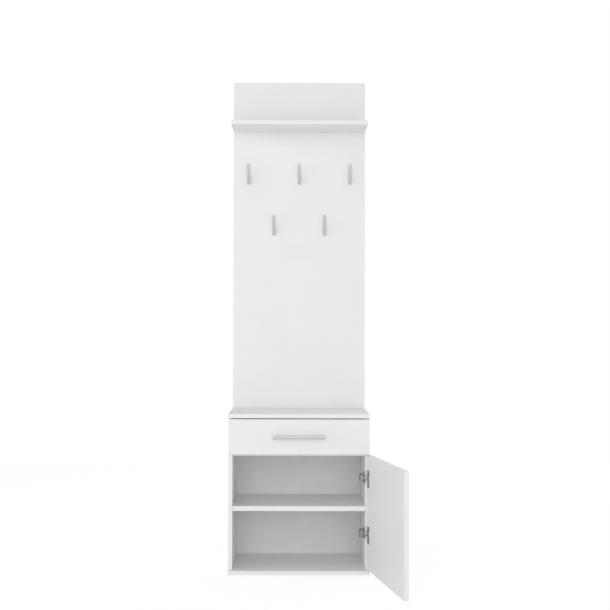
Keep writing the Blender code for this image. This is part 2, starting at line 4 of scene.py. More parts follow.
import bmesh
import bpy
from bpy.props import FloatProperty, FloatVectorProperty, IntProperty, PointerProperty
from mathutils import Matrix, Vector

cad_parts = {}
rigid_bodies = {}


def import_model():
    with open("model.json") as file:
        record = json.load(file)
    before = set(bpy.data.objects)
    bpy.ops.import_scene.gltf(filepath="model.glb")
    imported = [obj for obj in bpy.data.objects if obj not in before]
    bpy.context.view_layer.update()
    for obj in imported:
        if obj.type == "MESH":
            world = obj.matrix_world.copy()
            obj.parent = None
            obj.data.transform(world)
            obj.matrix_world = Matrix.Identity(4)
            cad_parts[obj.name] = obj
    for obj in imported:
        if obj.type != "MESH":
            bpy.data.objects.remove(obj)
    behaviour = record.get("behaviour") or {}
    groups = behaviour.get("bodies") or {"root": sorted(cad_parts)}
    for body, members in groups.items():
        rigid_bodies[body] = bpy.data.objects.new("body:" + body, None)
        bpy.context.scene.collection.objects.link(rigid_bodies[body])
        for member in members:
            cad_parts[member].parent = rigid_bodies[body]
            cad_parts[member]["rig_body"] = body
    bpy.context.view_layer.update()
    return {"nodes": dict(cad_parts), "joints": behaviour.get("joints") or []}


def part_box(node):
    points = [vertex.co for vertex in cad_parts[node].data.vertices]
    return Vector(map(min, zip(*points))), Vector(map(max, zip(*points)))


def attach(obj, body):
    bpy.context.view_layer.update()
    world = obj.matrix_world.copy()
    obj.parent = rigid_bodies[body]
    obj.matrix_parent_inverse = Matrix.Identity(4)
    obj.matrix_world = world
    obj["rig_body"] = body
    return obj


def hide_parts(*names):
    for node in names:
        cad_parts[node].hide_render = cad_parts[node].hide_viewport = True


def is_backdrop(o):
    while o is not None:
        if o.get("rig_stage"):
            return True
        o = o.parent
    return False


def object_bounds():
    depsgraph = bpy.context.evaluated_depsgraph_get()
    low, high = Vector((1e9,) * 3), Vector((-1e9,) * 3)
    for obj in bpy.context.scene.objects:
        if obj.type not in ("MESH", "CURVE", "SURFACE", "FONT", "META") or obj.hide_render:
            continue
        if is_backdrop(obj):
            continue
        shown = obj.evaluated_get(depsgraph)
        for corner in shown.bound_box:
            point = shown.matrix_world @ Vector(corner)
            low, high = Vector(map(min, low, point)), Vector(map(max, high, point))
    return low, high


bl_info = {
    "name": "Hallway Stand",
    "version": (1, 0, 0),
    "blender": (4, 5, 0),
    "location": "3D View > Sidebar > Hallway Stand",
    "description": "Finishes and fittings for a hook panel with a hat shelf on a shoe cabinet",
    "category": "Add Mesh",
}

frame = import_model()

MM = 0.001
TURN = 2 * math.pi
ROOT = "root"
DRAWER = "drawer"
DOOR = "door"
SIDES = {"left": -1, "right": 1}
HINGES = ("upper", "lower")
HOOKS = tuple(f"hook_{number}" for number in range(1, 6))
X, Y, Z = 0, 1, 2
WIDE_STEPS, SMALL_STEPS, PIN_STEPS = 56, 32, 28  # steps round a wide, a small and a very small turned shape
SAME = 1e-6  # places that are nearer than this, in metres, are the same
HAIR = 1e-8  # how near a cut runs to a vertex before it goes through it
# The hinge arm's web, from its rear end to its nose, as millimetres from the pin.
ARM_WEB = ((-6.0, 61.5), (-10.5, 53.5), (-17.5, 25.5), (-17.5, 9.5), (-11.0, 1.3))
# The adjusting screws: the web's stretch that each is in, and how far along it.
ARM_SCREWS = ((1, 2, 0.3), (2, 3, 0.5))
# The handle's foot: how far its lower rim is cut in and up, in millimetres.
FOOT_CUT = (0.2, 0.25)
# Its straight side and the curve over that, as shares of the foot's height, and the curve's steps.
FOOT_SIDE, FOOT_CURVE, FOOT_STEPS = 0.5, 0.7, 4
# Patterns are taken from one shade or sheen to another on a smooth curve.
SMOOTH = {"interpolation_type": "SMOOTHSTEP"}
# The names of the plated, coated and moulded skins.
NICKEL = "Nickel-plated pressed steel"
# The nickel drawn darker: painted shade on the hinges' flanges, mounting plates, arms, links and spring
# plates.
NICKEL_IN_PAINTED_SHADE = "Dull nickel-plated steel"
ZINC = "Zinc-plated steel"
ENAMEL = "White powder-coated steel"
LACQUER = "White-lacquered steel"
NYLON = "Grey moulded nylon"


def linear(hex_colour):
    """An sRGB hex colour as linear light."""
    channels = [int(hex_colour[i : i + 2], 16) / 255 for i in (0, 2, 4)]
    return [c / 12.92 if c <= 0.04045 else ((c + 0.055) / 1.055) ** 2.4 for c in channels]


def colour(name, hex_colour, description):
    return FloatVectorProperty(
        name=name, description=description, subtype="COLOR", size=3, min=0, max=1,
        default=linear(hex_colour),
    )


def length(name, millimetres, description):
    return FloatProperty(
        name=name, description=description, subtype="DISTANCE", unit="LENGTH", min=0,
        precision=5, default=millimetres * MM,
    )


def amount(name, value, description, most=1.0):
    return FloatProperty(name=name, description=description, min=0, max=most, default=value)


def angle(name, degrees, description):
    return FloatProperty(
        name=name, description=description, subtype="ANGLE", unit="ROTATION",
        default=math.radians(degrees),
    )


def soft_light(name, place, which):
    return FloatVectorProperty(
        name=name, description=f"Place of the {which}", subtype="TRANSLATION", unit="LENGTH",
        default=place,
    )


def power(name, watts, which):
    return FloatProperty(name=name, description=f"Power of the {which}", unit="POWER", default=watts)


# ---------------------------------------------------------------- settings


class BoardFinish(bpy.types.PropertyGroup):
    film: colour("Film", "F0EFEF", "White of the melamine film on the boards' faces")
    band: colour("Edge band", "F0EFEE", "White of the banded edges")
    seam: colour("Seam", "C9C7C3", "Glue line between the film and the edge band")
    core: colour("Chipboard", "C4A97F", "Bare chipboard on the rear edges that stand to the wall")
    chip: colour("Dark chips", "8F734C", "Darker chips in the bare chipboard")
    white_face: colour("Coated face", "F0EEEE", "Coated face of the thin back and the drawer's floor")
    bare_face: colour("Bare fibreboard", "A98A63", "Uncoated face of the thin back and the drawer's floor")
    roughness: amount("Roughness", 0.42, "Roughness of the melamine film")
    band_thickness: length("Band thickness", 0.8, "Thickness of the edge band")
    seam_width: length("Seam width", 0.35, "Width that the glue line is drawn at")
    pearl_size: length("Pearl size", 1.6, "Size of the film's pressed pearl grain")
    pearl_depth: length("Pearl depth", 0.02, "Depth of the pearl grain")
    drift_size: length("Drift size", 220, "Size of the patches that the film's white drifts over")
    sheen_size: length("Sheen size", 45, "Size of the patches that the film's sheen drifts over")
    chip_size: length("Chip size", 4, "Size of the chips in bare chipboard")
    chip_fibre: length("Chip fibre", 1.2, "Size of the fibres over the chips")
    rear_skin: length("Rear skin", 0.1, "Depth from the rear that is painted as bare chipboard")
    bare_roughness: amount("Bare roughness", 0.9, "Roughness of bare chipboard")
    lacquer_depth: length("Lacquer depth", 0.15, "Depth that is painted as lacquer on the hardboard")
    lacquer_roughness: amount("Lacquer roughness", 0.5, "Roughness of the lacquered hardboard")
    fibre_roughness: amount("Fibre roughness", 0.85, "Roughness of the bare hardboard")
    fibre_size: length("Fibre size", 2.2, "Size of the hardboard's fibres")
    fibre_depth: length("Fibre depth", 0.03, "Depth of the hardboard's fibres")
    patch_size: length("Patch size", 60, "Size of the patches that the lacquer's white drifts over")


class MetalFinish(bpy.types.PropertyGroup):
    satin: colour("Satin metal", "CCCCCB", "Brushed metal of the hooks and handles")
    nickel: colour("Nickel", "E6E3E0", "Nickel plate of the hinges and shelf pins")
    # A darker copy of the nickel: painted shade on the hinges' flanges, mounting plates, arms, links and
    # spring plates.
    dull_nickel: colour("Dull nickel", "A5A29F", "Duller nickel of the flanges, plates, arms and links")
    zinc: colour("Zinc", "B9BAB6", "Zinc plate of the screws")
    enamel: colour("Enamel", "EEEEEC", "White enamel of the runners and of the lacquered screw heads")
    nylon: colour("Nylon", "8B8E91", "Grey nylon of the runners' rollers")
    brush_length: length("Brush length", 9, "Length of the brushed metal's scratches")
    brush_width: length("Brush width", 0.5, "Width that the brushed metal's scratches are drawn at")
    brush_depth: length("Brush depth", 0.01, "Depth of the brushed metal's scratches")
    haze_size: length("Haze size", 20, "Size of the patches that the brushed metal's sheen drifts over")
    satin_roughness: amount("Satin roughness", 0.38, "Least roughness of the brushed metal")


class HookSizes(bpy.types.PropertyGroup):
    thickness: length("Thickness", 4.5, "Thickness of the flat bar")
    foot_out: length("Foot out", 8, "How far the bar's lower end stands off the panel")
    foot_low: length("Foot low", 10, "Height of the foot's lower side over the bar's end")
    foot_high: length("Foot high", 32, "Height of the foot's upper side over the bar's end")
    flare_low: length("Flare low", 1, "How much lower the foot's lower side meets the bar than the panel")
    flare_high: length("Flare high", 4, "How much higher the foot's upper side meets the bar than the panel")
    end_radius: length("End radius", 2.0, "Rounding of the bar's two ends")
    fillet: length("Fillet", 7, "Rounding between the foot and the bar")
    edge: length("Edge", 0.9, "Rounding of the bar's long edges")


class HandleSizes(bpy.types.PropertyGroup):
    edge: length("Edge", 1.4, "Rounding of the bar's front and rear rims")
    thickness: length("Thickness", 9, "Thickness of the bar, from front to rear")
    end_round: amount("End round", 0.97, "Rounding of the bar's ends, as a share of half its height")
    leg_sunk: amount("Leg sunk", 0.4, "How far each leg runs into the bar, as a share of its thickness")
    leg_radius: length("Leg radius", 4.5, "Radius of the two legs")
    foot_radius: length("Foot radius", 6.2, "Radius of the small foot at the end of each leg")
    foot_height: length("Foot height", 1.6, "Height of that foot")
    screw_spacing: length("Screw spacing", 160, "Distance between the two legs")


class ScrewSizes(bpy.types.PropertyGroup):
    head_radius: length("Head radius", 4, "Radius of a pan head")
    head_height: length("Head height", 2.2, "Height of a pan head")
    shank_radius: length("Shank radius", 2, "Radius of the shank")
    recess_reach: amount("Recess reach", 0.56, "Reach of the cross recess, as a share of the head's radius")
    recess_width: amount("Recess width", 0.13, "Half the width of each slot, as a share of the head's radius")
    recess_depth: amount("Recess depth", 0.38, "Depth of the recess, as a share of the head's radius")
    recess_taper: amount("Recess taper", 0.62, "Size of the recess at its floor, as a share of that on top")
    recess_most: amount("Deepest recess", 0.8, "Most that the recess takes, as a share of the head's height")
    flat_rim: amount("Flat rim", 0.12, "Flat top outside the recess, as a share of the head's radius")
    dome: amount("Dome", 0.75, "Most that the head's rounding takes, as a share of its height")
    low_height: length("Low head height", 1.3, "Height of the low heads on the hinges")
    low_shank: amount("Low head's shank", 0.45, "Radius of a low head's shank, as a share of the head's")
    low_reach: amount("Low head's reach", 1.6, "Length of a low screw, in heights of its head", 10)
    steps: IntProperty(name="Steps", description="Steps round a screw", min=12, default=32)


class HingeSizes(bpy.types.PropertyGroup):
    cup_radius: length("Cup radius", 17.5, "Radius of the cup let into the door")
    cup_depth: length("Cup depth", 11.5, "Depth of the cup")
    cup_wall: length("Cup wall", 0.6, "Thickness of the cup's wall")
    cup_bend: length("Cup bend", 2.5, "Outer radius between the cup's floor and its wall")
    cup_lip: length("Cup lip", 0.8, "Reach of the cup's rolled rim over the flange")
    flange_sheet: length("Flange sheet", 1.2, "Thickness of the cup's flange")
    flange_width: length("Flange width", 33, "Width of the flange, across the door")
    flange_corner: length("Flange corner", 7, "Corner radius of the flange")
    flange_overlap: length("Flange overlap", 0.2, "How far the flange runs in under the cup's rim")
    flange_screw: length("Flange screw", 24, "Height of each flange screw over or under the cup's middle")
    flange_head: length("Flange screw head", 3.4, "Radius of a flange screw's head")
    arm_sheet: length("Arm sheet", 1.5, "Thickness of the arm's pressed steel")
    arm_bend: length("Arm bend", 2.4, "Outer radius of the bends along the arm")
    arm_rim: length("Arm rim", 1.92, "Outer radius of the bends between the web and the cheeks")
    arm_nose: length("Arm nose", 3.6, "Radius of the cheeks round the pin")
    arm_mouth: length("Arm mouth", 6, "Distance from the web's nose end to where the cheeks meet the plate")
    spring_gap: length("Spring gap", 4, "Distance from the spring plate to the pin's axis")
    spring_sheet: length("Spring sheet", 1.2, "Thickness of the spring plate")
    spring_edge: length("Spring edge", 0.5, "Rounding of the spring plate's edges")
    adjusting_head: length("Adjusting screw head", 3.6, "Radius of an adjusting screw's head")
    wing_sheet: length("Wing sheet", 1.8, "Thickness of the mounting plate's wings")
    wing_front: length("Wing front", 23, "Distance of the wings behind the plate's front end")
    wing_width: length("Wing width", 13, "Width of a wing, from front to rear")
    wing_corner: length("Wing corner", 2.5, "Corner radius of a wing")
    wing_screw: length("Wing screw", 19.5, "Height of each wing screw over or under the arm's middle")
    wing_head: length("Wing screw head", 4.2, "Radius of a wing screw's head")
    rail_half_height: length("Rail half height", 10.8, "Half the height of the rail under the arm")
    rail_edge: length("Rail edge", 1.2, "Rounding of the rail's edges")
    pin_radius: length("Pin radius", 1.5, "Radius of the pin through the arm's cheeks")
    pin_head: length("Pin head", 2.5, "Radius of the pin's riveted heads")
    pin_dome: length("Pin dome", 1, "Height of the pin's riveted heads, and the radius of their rounding")
    knuckle_radius: length("Knuckle radius", 2.9, "Outer radius of the link's rolled knuckle")
    link_sheet: length("Link sheet", 1.4, "Thickness of the link's leaf")
    link_root: amount("Link root", 0.8, "Where the leaf starts in the knuckle, as a share of its radius")
    link_half_height: length("Link half height", 8.3, "Half the height of the link's leaf")
    link_taper: amount("Link taper", 0.5, "Height of the leaf at its eye, as a share of that at the knuckle")
    link_length: length("Link length", 18.2, "Distance from the pin to the link's eye")
    link_edge: length("Link edge", 0.5, "Rounding of the link's edges")
    link_angle: angle("Link angle", -46, "Direction of the link at rest, from +X")
    eye_radius: length("Eye radius", 1.4, "Radius of the link's rolled eye")


class ShelfPinSizes(bpy.types.PropertyGroup):
    end_radius: length("End radius", 0.8, "Rounding of a pin's ends")


class RunnerSizes(bpy.types.PropertyGroup):
    rim: length("Rim", 0.8, "Rounding of the roller's rim")
    web: length("Web", 1.3, "Depth of the hollow in each face of the roller")
    bore: length("Bore", 2.6, "Radius of the roller's bore")
    hub_wall: length("Hub wall", 1.6, "Thickness of the roller's hub round its bore")
    tread: length("Tread", 1.8, "Thickness of the roller's tread")
    slope: length("Slope", 0.3, "Slant of the hub and the tread towards the web")
    channel_sheet: length("Channel sheet", 1.2, "Thickness of the runner's steel")
    screw_proud: length("Screw proud", 0.25, "How far a screw's head stands out of the channel")
    head_radius: length("Screw head", 3.2, "Radius of a runner screw's head")
    head_height: length("Screw head height", 0.6, "Height of a runner screw's head")
    screw_places: FloatVectorProperty(
        name="Screw places", description="Distance of each runner screw from the runner's front end",
        subtype="NONE", unit="LENGTH", size=3, default=(0.052, 0.165, 0.262),
    )


class StageSettings(bpy.types.PropertyGroup):
    floor: colour("Floor", "F2F2F1", "Pale plain floor")
    floor_patch: length("Floor patch", 800, "Size of the patches that the floor's white drifts over")
    floor_size: FloatProperty(name="Floor size", description="Side of the floor", unit="LENGTH", default=7)
    floor_glow: amount("Floor glow", 0.79, "Share of even white in the floor as it is seen")
    floor_white: amount("Floor white", 1.085, "Strength of that even white", 10)
    dome: amount("Dome", 0.60, "Strength of the even white light from all round", 10)
    ground: amount("Ground", 1.0, "Strength of the white behind the stand as it is seen", 10)
    light_size: FloatProperty(
        name="Light size", description="Side of each soft light", unit="LENGTH", default=3.0,
    )
    key: soft_light("Key", (0.0, -4.4, 1.45), "soft light in front")
    key_power: power("Key power", 54, "soft light in front")
    fill: soft_light("Fill", (-4.2, -1.5, 1.7), "soft light on the left")
    fill_power: power("Fill power", 44, "soft light on the left")
    rear: soft_light("Rear", (2.6, 4.2, 2.4), "soft light behind, which only reaches the rear")
    rear_power: power("Rear power", 60, "soft light behind, which only reaches the rear")
    camera_place: FloatVectorProperty(
        name="Camera place", description="Place of the camera", subtype="TRANSLATION",
        unit="LENGTH", precision=4, default=(-0.0221, -4.7026, 0.9381),
    )
    camera_pan: angle("Camera pan", -0.552, "Turn of the camera to the left")
    camera_tilt: angle("Camera tilt", 1.128, "Tilt of the camera over the level")
    camera_roll: angle("Camera roll", 0.150, "Roll of the camera about its own axis")
    lens: FloatProperty(name="Lens", description="Focal length", unit="CAMERA", default=69.926)
    sensor: FloatProperty(name="Sensor", description="Width of the sensor", unit="CAMERA", default=36)


class StandSettings(bpy.types.PropertyGroup):
    boards: PointerProperty(type=BoardFinish, name="Boards")
    metal: PointerProperty(type=MetalFinish, name="Metal and nylon")
    hooks: PointerProperty(type=HookSizes, name="Hooks")
    handles: PointerProperty(type=HandleSizes, name="Handles")
    screws: PointerProperty(type=ScrewSizes, name="Screws")
    hinges: PointerProperty(type=HingeSizes, name="Hinges")
    shelf_pins: PointerProperty(type=ShelfPinSizes, name="Shelf pins")
    runners: PointerProperty(type=RunnerSizes, name="Runners")
    stage: PointerProperty(type=StageSettings, name="Stage")


# ---------------------------------------------------------------- places from the frame


def joint(name):
    return next(j for j in frame["joints"] if j["name"] == name)


def door_turn():
    """Turns the shut door to where it stands at rest: as far from shut as its joint can swing it back."""
    swing = joint("door_swing")
    middle = Matrix.Translation(swing["pos_m"])
    return middle @ Matrix.Rotation(-math.radians(swing["range_deg"][0]), 4, "Z") @ middle.inverted()


def shut_box(node):
    """Lowest and highest corner of one of the door's nodes, with the door shut."""
    back = door_turn().inverted()
    points = [back @ v.co for v in frame["nodes"][node].data.vertices]
    low, high = (Vector(pick(p[i] for p in points) for i in range(3)) for pick in (min, max))
    return low, high


def box_on(node, body):
    """A node's box in the directions that its piece is modelled in, and the turn from there to rest."""
    if body == DOOR:
        return shut_box(node), door_turn()
    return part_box(node), Matrix.Identity(4)


# ---------------------------------------------------------------- meshes


def piece(name, shape, body, slot, finish, *nodes, turn=None, smooth=40):
    """Makes the piece from its bmesh, in place, with its finish, its body and the nodes it stands for."""
    if turn:
        bmesh.ops.transform(shape, matrix=turn, verts=shape.verts)
    mesh = bpy.data.meshes.new(name)
    shape.to_mesh(mesh)
    shape.free()
    mesh.shade_smooth()
    mesh.set_sharp_from_angle(angle=math.radians(smooth))
    obj = bpy.data.objects.new(name, mesh)
    bpy.context.scene.collection.objects.link(obj)
    mesh.materials.append(finish)
    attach(obj, body)
    if nodes:
        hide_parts(*nodes)
    return obj


def aim(place, direction):
    """The matrix that puts a shape's origin at a place and turns its +Z to a direction."""
    turn = Vector((0, 0, 1)).rotation_difference(Vector(direction)).to_matrix().to_4x4()
    return Matrix.Translation(place) @ turn


def bevel_edges(shape, edges, radius, segments):
    """Rounds these edges."""
    return bmesh.ops.bevel(
        shape, geom=list(edges), offset=radius, offset_type="OFFSET", affect="EDGES",
        segments=segments, profile=0.5, material=-1, clamp_overlap=True,
    )


def prism(shape, outline, start, end):
    """Extrudes a flat outline, given as vectors, from one offset to another. Returns both ends' vertices."""
    verts = [shape.verts.new(point + start) for point in outline]
    base = shape.faces.new(verts)
    moved = bmesh.ops.extrude_face_region(shape, geom=[base], use_keep_orig=True)["geom"]
    top = [g for g in moved if isinstance(g, bmesh.types.BMVert)]
    bmesh.ops.translate(shape, verts=top, vec=end - start)
    linked = set(f for v in [*verts, *top] for f in v.link_faces)
    bmesh.ops.recalc_face_normals(shape, faces=list(linked))
    return verts, top


def spun(shape, profile, steps, matrix=None):
    """Spins (radius, height) points about Z into a closed shape, welds it and points its faces out."""
    verts = [shape.verts.new((radius, 0, height)) for radius, height in profile]
    edges = [shape.edges.new(pair) for pair in zip(verts, verts[1:])]
    before = set(shape.faces)
    bmesh.ops.spin(
        shape, geom=verts + edges, cent=(0, 0, 0), axis=(0, 0, 1), angle=TURN, steps=steps,
        use_merge=True,
    )
    own = list({v for f in shape.faces if f not in before for v in f.verts})
    bmesh.ops.remove_doubles(shape, verts=own, dist=SAME)
    made = [f for f in shape.faces if f not in before]
    bmesh.ops.recalc_face_normals(shape, faces=made)
    own = list({v for f in made for v in f.verts})
    if matrix:
        bmesh.ops.transform(shape, matrix=matrix, verts=own)
    return own


def rounded_box(shape, low, high, radius, segments=3, axes=(X, Y, Z)):
    """A box between two corners, with its edges along the given axes rounded."""
    low, high = Vector(low), Vector(high)
    place = Matrix.Translation((low + high) / 2) @ Matrix.Diagonal((*(high - low), 1))
    made = bmesh.ops.create_cube(shape, size=1, matrix=place)["verts"]
    edges = {e for v in made for e in v.link_edges}
    chosen = [e for e in edges if longest_axis(e.verts[1].co - e.verts[0].co) in axes]
    rounded = bevel_edges(shape, chosen, radius, segments)
    return {v for f in rounded["faces"] for v in f.verts} | {v for v in made if v.is_valid}


def longest_axis(vector):
    return max((X, Y, Z), key=lambda i: abs(vector[i]))


def in_plane(edge, axis, place):
    """Whether the whole edge lies in this plane across an axis."""
    return all(abs(v.co[axis] - place) < SAME for v in edge.verts)


def arc_points(centre, radius, start, end, steps):
    """(radius, height) points of an arc in a turned profile, its angles in degrees."""
    angles = [math.radians(start + (end - start) * i / steps) for i in range(steps + 1)]
    return [(centre[0] + radius * math.cos(a), centre[1] + radius * math.sin(a)) for a in angles]


# ---------------------------------------------------------------- materials


def add(tree, kind, inputs=None, output=None, **settings):
    """Adds a node with its settings, and each input either linked from a socket or set to a value.
    Returns the output that is asked for, or the first one that these settings leave in use."""
    node = tree.nodes.new(kind)
    for name, value in settings.items():
        setattr(node, name, value)
    for name, value in (inputs or {}).items():
        socket = node.inputs[name]
        if isinstance(value, bpy.types.NodeSocket):
            tree.links.new(value, socket)
        else:
            socket.default_value = (*value, 1) if socket.type == "RGBA" else value
    return node.outputs[output] if output else next(o for o in node.outputs if o.enabled)


def start_material(name, **surface):
    """A new material, its tree, its Principled shader with its even values, and Object coordinates."""
    made = bpy.data.materials.new(name)
    made.use_nodes = True
    tree = made.node_tree
    shader = tree.nodes["Principled BSDF"]
    for socket, value in surface.items():
        shader.inputs[socket.replace("_", " ")].default_value = value
    return made, tree, shader, add(tree, "ShaderNodeTexCoord", output="Object")


def shaded(rgb, *shares):
    """A colour with each of its channels at a share of what it was."""
    return [c * share for c, share in zip(rgb, shares * 3 if len(shares) == 1 else shares)]


def drifting(tree, pattern, first, second, low=0.35, high=0.7):
    """The first colour where the pattern is low, which passes into the second where it is high."""
    share = add(tree, "ShaderNodeMapRange", {0: pattern, 1: low, 2: high}, **SMOOTH)
    return add(tree, "ShaderNodeMix", {0: share, 6: first, 7: second}, data_type="RGBA")


def lay_on(tree, shader, paint, rough, height, depth, strength=1.0):
    """Joins a finish's colour, roughness and relief to its shader."""
    relief = add(tree, "ShaderNodeBump", {"Height": height, "Distance": depth, "Strength": strength})
    for socket, value in (("Base Color", paint), ("Roughness", rough), ("Normal", relief)):
        tree.links.new(value, shader.inputs[socket])


def rim_distance(tree, where, low, high):
    """Distance from the nearest narrow face of a board, and the distance in front of its rear face."""
    place = add(tree, "ShaderNodeSeparateXYZ", {0: where}).node.outputs
    size = high - low
    inward = []
    for axis in {X, Y, Z} - {min((X, Y, Z), key=lambda i: size[i])}:
        middle = (low[axis] + high[axis]) / 2
        off = add(tree, "ShaderNodeMath", {0: place[axis], 1: middle}, operation="SUBTRACT")
        off = add(tree, "ShaderNodeMath", {0: off}, operation="ABSOLUTE")
        inward.append(add(tree, "ShaderNodeMath", {0: size[axis] / 2, 1: off}, operation="SUBTRACT"))
    nearest = add(tree, "ShaderNodeMath", {0: inward[0], 1: inward[1]}, operation="MINIMUM")
    return nearest, add(tree, "ShaderNodeMath", {0: high.y, 1: place[Y]}, operation="SUBTRACT")


def melamine_board(node, body, bare_rear):
    """Melamine-faced chipboard: a white film pressed with a fine pearl grain, which gives a soft even sheen.
    Its narrow faces carry a smoother white edge band, glued on along a faint line. A rear edge that stands
    to the wall may be left bare, and shows the pressed chips."""
    finish = bpy.context.scene.hallway_stand.boards
    made, tree, shader, where = start_material(
        f"White melamine board, {node}", IOR=1.5, Specular_IOR_Level=0.45
    )
    (low, high), turn = box_on(node, body)
    if body == DOOR:
        # The door's grain and seams follow the leaf, so the pattern is turned back with it.
        back = turn.inverted()
        place = {"Vector": where, "Location": back.to_translation(), "Rotation": tuple(back.to_euler())}
        where = add(tree, "ShaderNodeMapping", place)
    nearest, ahead = rim_distance(tree, where, low, high)
    band = finish.band_thickness
    half_seam = finish.seam_width / 2
    to_band = {0: nearest, 1: band - half_seam, 2: band, 3: 1.0, 4: 0.0}
    on_band = add(tree, "ShaderNodeMapRange", to_band, **SMOOTH)
    off_seam = add(tree, "ShaderNodeMath", {0: nearest, 1: band + half_seam}, operation="SUBTRACT")
    off_seam = add(tree, "ShaderNodeMath", {0: off_seam}, operation="ABSOLUTE")
    # The glue line is at its full strength, a half, over four tenths of its width, and fades to its sides.
    to_seam = {0: off_seam, 1: half_seam * 0.4, 2: half_seam, 3: 0.5, 4: 0.0}
    on_seam = add(tree, "ShaderNodeMapRange", to_seam, **SMOOTH)

    # The film's white drifts a little over a hand's width, and its sheen over a finger's.
    drift = add(tree, "ShaderNodeTexNoise", {"Vector": where, "Scale": 1 / finish.drift_size})
    paint = drifting(tree, drift, finish.film, shaded(finish.film, 0.985, 0.98, 0.972))
    for share, other in ((on_band, finish.band), (on_seam, finish.seam)):
        paint = add(tree, "ShaderNodeMix", {0: share, 6: paint, 7: other}, data_type="RGBA")
    sheen = add(tree, "ShaderNodeTexNoise", {"Vector": where, "Scale": 1 / finish.sheen_size})
    to_rough = {0: sheen, 1: 0.3, 2: 0.7, 3: finish.roughness - 0.04, 4: finish.roughness + 0.05}
    rough = add(tree, "ShaderNodeMapRange", to_rough, **SMOOTH)

    # A real pearl grain is about 0.5 mm across, too fine to show, so it is drawn three times as coarse.
    pearl = {"Vector": where, "Scale": 1 / finish.pearl_size}
    pearl = add(tree, "ShaderNodeTexVoronoi", pearl, feature="SMOOTH_F1")
    on_film = add(tree, "ShaderNodeMath", {0: 1.0, 1: on_band}, operation="SUBTRACT")
    height = add(tree, "ShaderNodeMath", {0: pearl, 1: on_film}, operation="MULTIPLY")
    height = add(tree, "ShaderNodeMath", {0: height, 1: on_seam}, operation="SUBTRACT")

    if bare_rear:
        # Pressed chips are 3 to 8 mm long and lie along the board, with finer fibres over them.
        chips = add(tree, "ShaderNodeTexVoronoi", {"Vector": where, "Scale": 1 / finish.chip_size}, "Color")
        tone = add(tree, "ShaderNodeSeparateColor", {"Color": chips})
        core = add(tree, "ShaderNodeMix", {0: tone, 6: finish.core, 7: finish.chip}, data_type="RGBA")
        fibre = {"Vector": where, "Scale": 1 / finish.chip_fibre, "Detail": 3.0}
        fibre = add(tree, "ShaderNodeTexNoise", fibre)
        fibre = add(tree, "ShaderNodeMapRange", {0: fibre, 1: 0.3, 2: 0.75, 4: 0.5}, **SMOOTH)
        core = add(tree, "ShaderNodeMix", {0: fibre, 6: core, 7: finish.core}, data_type="RGBA")
        is_rear = add(tree, "ShaderNodeMath", {0: ahead, 1: finish.rear_skin}, operation="LESS_THAN")
        paint = add(tree, "ShaderNodeMix", {0: is_rear, 6: paint, 7: core}, data_type="RGBA")
        rough = add(tree, "ShaderNodeMix", {0: is_rear, 2: rough, 3: finish.bare_roughness})
    lay_on(tree, shader, paint, rough, height, finish.pearl_depth)
    return made


def thin_fibreboard(node, axis, coated_side):
    """Thin hardboard, lacquered white on the face that shows and left brown and fibrous on the other."""
    finish = bpy.context.scene.hallway_stand.boards
    made, tree, shader, where = start_material(f"White-faced hardboard, {node}", IOR=1.5)
    low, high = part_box(node)
    place = add(tree, "ShaderNodeSeparateXYZ", {0: where}).node.outputs[axis]
    edge = low[axis] + finish.lacquer_depth if coated_side < 0 else high[axis] - finish.lacquer_depth
    side = "LESS_THAN" if coated_side < 0 else "GREATER_THAN"
    is_white = add(tree, "ShaderNodeMath", {0: place, 1: edge}, operation=side)

    # Fibres are 2 to 5 mm long and lie every way in the sheet. The lacquer drifts over two fingers' width.
    fibre = add(tree, "ShaderNodeTexNoise", {"Vector": where, "Scale": 1 / finish.fibre_size, "Detail": 5.0})
    patch = add(tree, "ShaderNodeTexNoise", {"Vector": where, "Scale": 1 / finish.patch_size})
    bare = drifting(tree, fibre, finish.bare_face, shaded(finish.bare_face, 0.78), 0.3, 0.72)
    white = drifting(tree, patch, finish.white_face, shaded(finish.white_face, 0.965), 0.3, 0.7)
    paint = add(tree, "ShaderNodeMix", {0: is_white, 6: bare, 7: white}, data_type="RGBA")
    rough = add(tree, "ShaderNodeMix", {0: is_white, 2: finish.fibre_roughness, 3: finish.lacquer_roughness})
    lay_on(tree, shader, paint, rough, fibre, finish.fibre_depth, 0.6)
    return made


def brushed_metal(along):
    """Zinc alloy, brushed and then lacquered in satin silver: an even grey, with fine scratches along the
    piece that draw each highlight out. The lacquer's flakes scatter light, so it is not all metallic."""
    name = f"Brushed satin metal along {'XYZ'[along]}"
    if name in bpy.data.materials:
        return bpy.data.materials[name]
    metal = bpy.context.scene.hallway_stand.metal
    made, tree, shader, where = start_material(
        name, Metallic=0.55, IOR=1.5, Coat_Weight=0.08, Coat_Roughness=0.4,
    )
    # Real scratches are 0.05 mm wide. They are drawn ten times as wide, so that they show.
    scale = [1 / metal.brush_width] * 3
    scale[along] = 1 / metal.brush_length
    stretched = add(tree, "ShaderNodeMapping", {"Vector": where, "Scale": scale})
    scratch = add(tree, "ShaderNodeTexNoise", {"Vector": stretched, "Scale": 1.0, "Detail": 3.0})
    haze = add(tree, "ShaderNodeTexNoise", {"Vector": where, "Scale": 1 / metal.haze_size})
    paint = drifting(tree, scratch, shaded(metal.satin, 0.9), metal.satin, 0.3, 0.7)
    rough = metal.satin_roughness
    for pattern, share in ((scratch, 0.16), (haze, 0.08)):
        rough = add(tree, "ShaderNodeMath", {0: pattern, 1: share, 2: rough}, operation="MULTIPLY_ADD")
    lay_on(tree, shader, paint, rough, scratch, metal.brush_depth, 0.7)
    return made


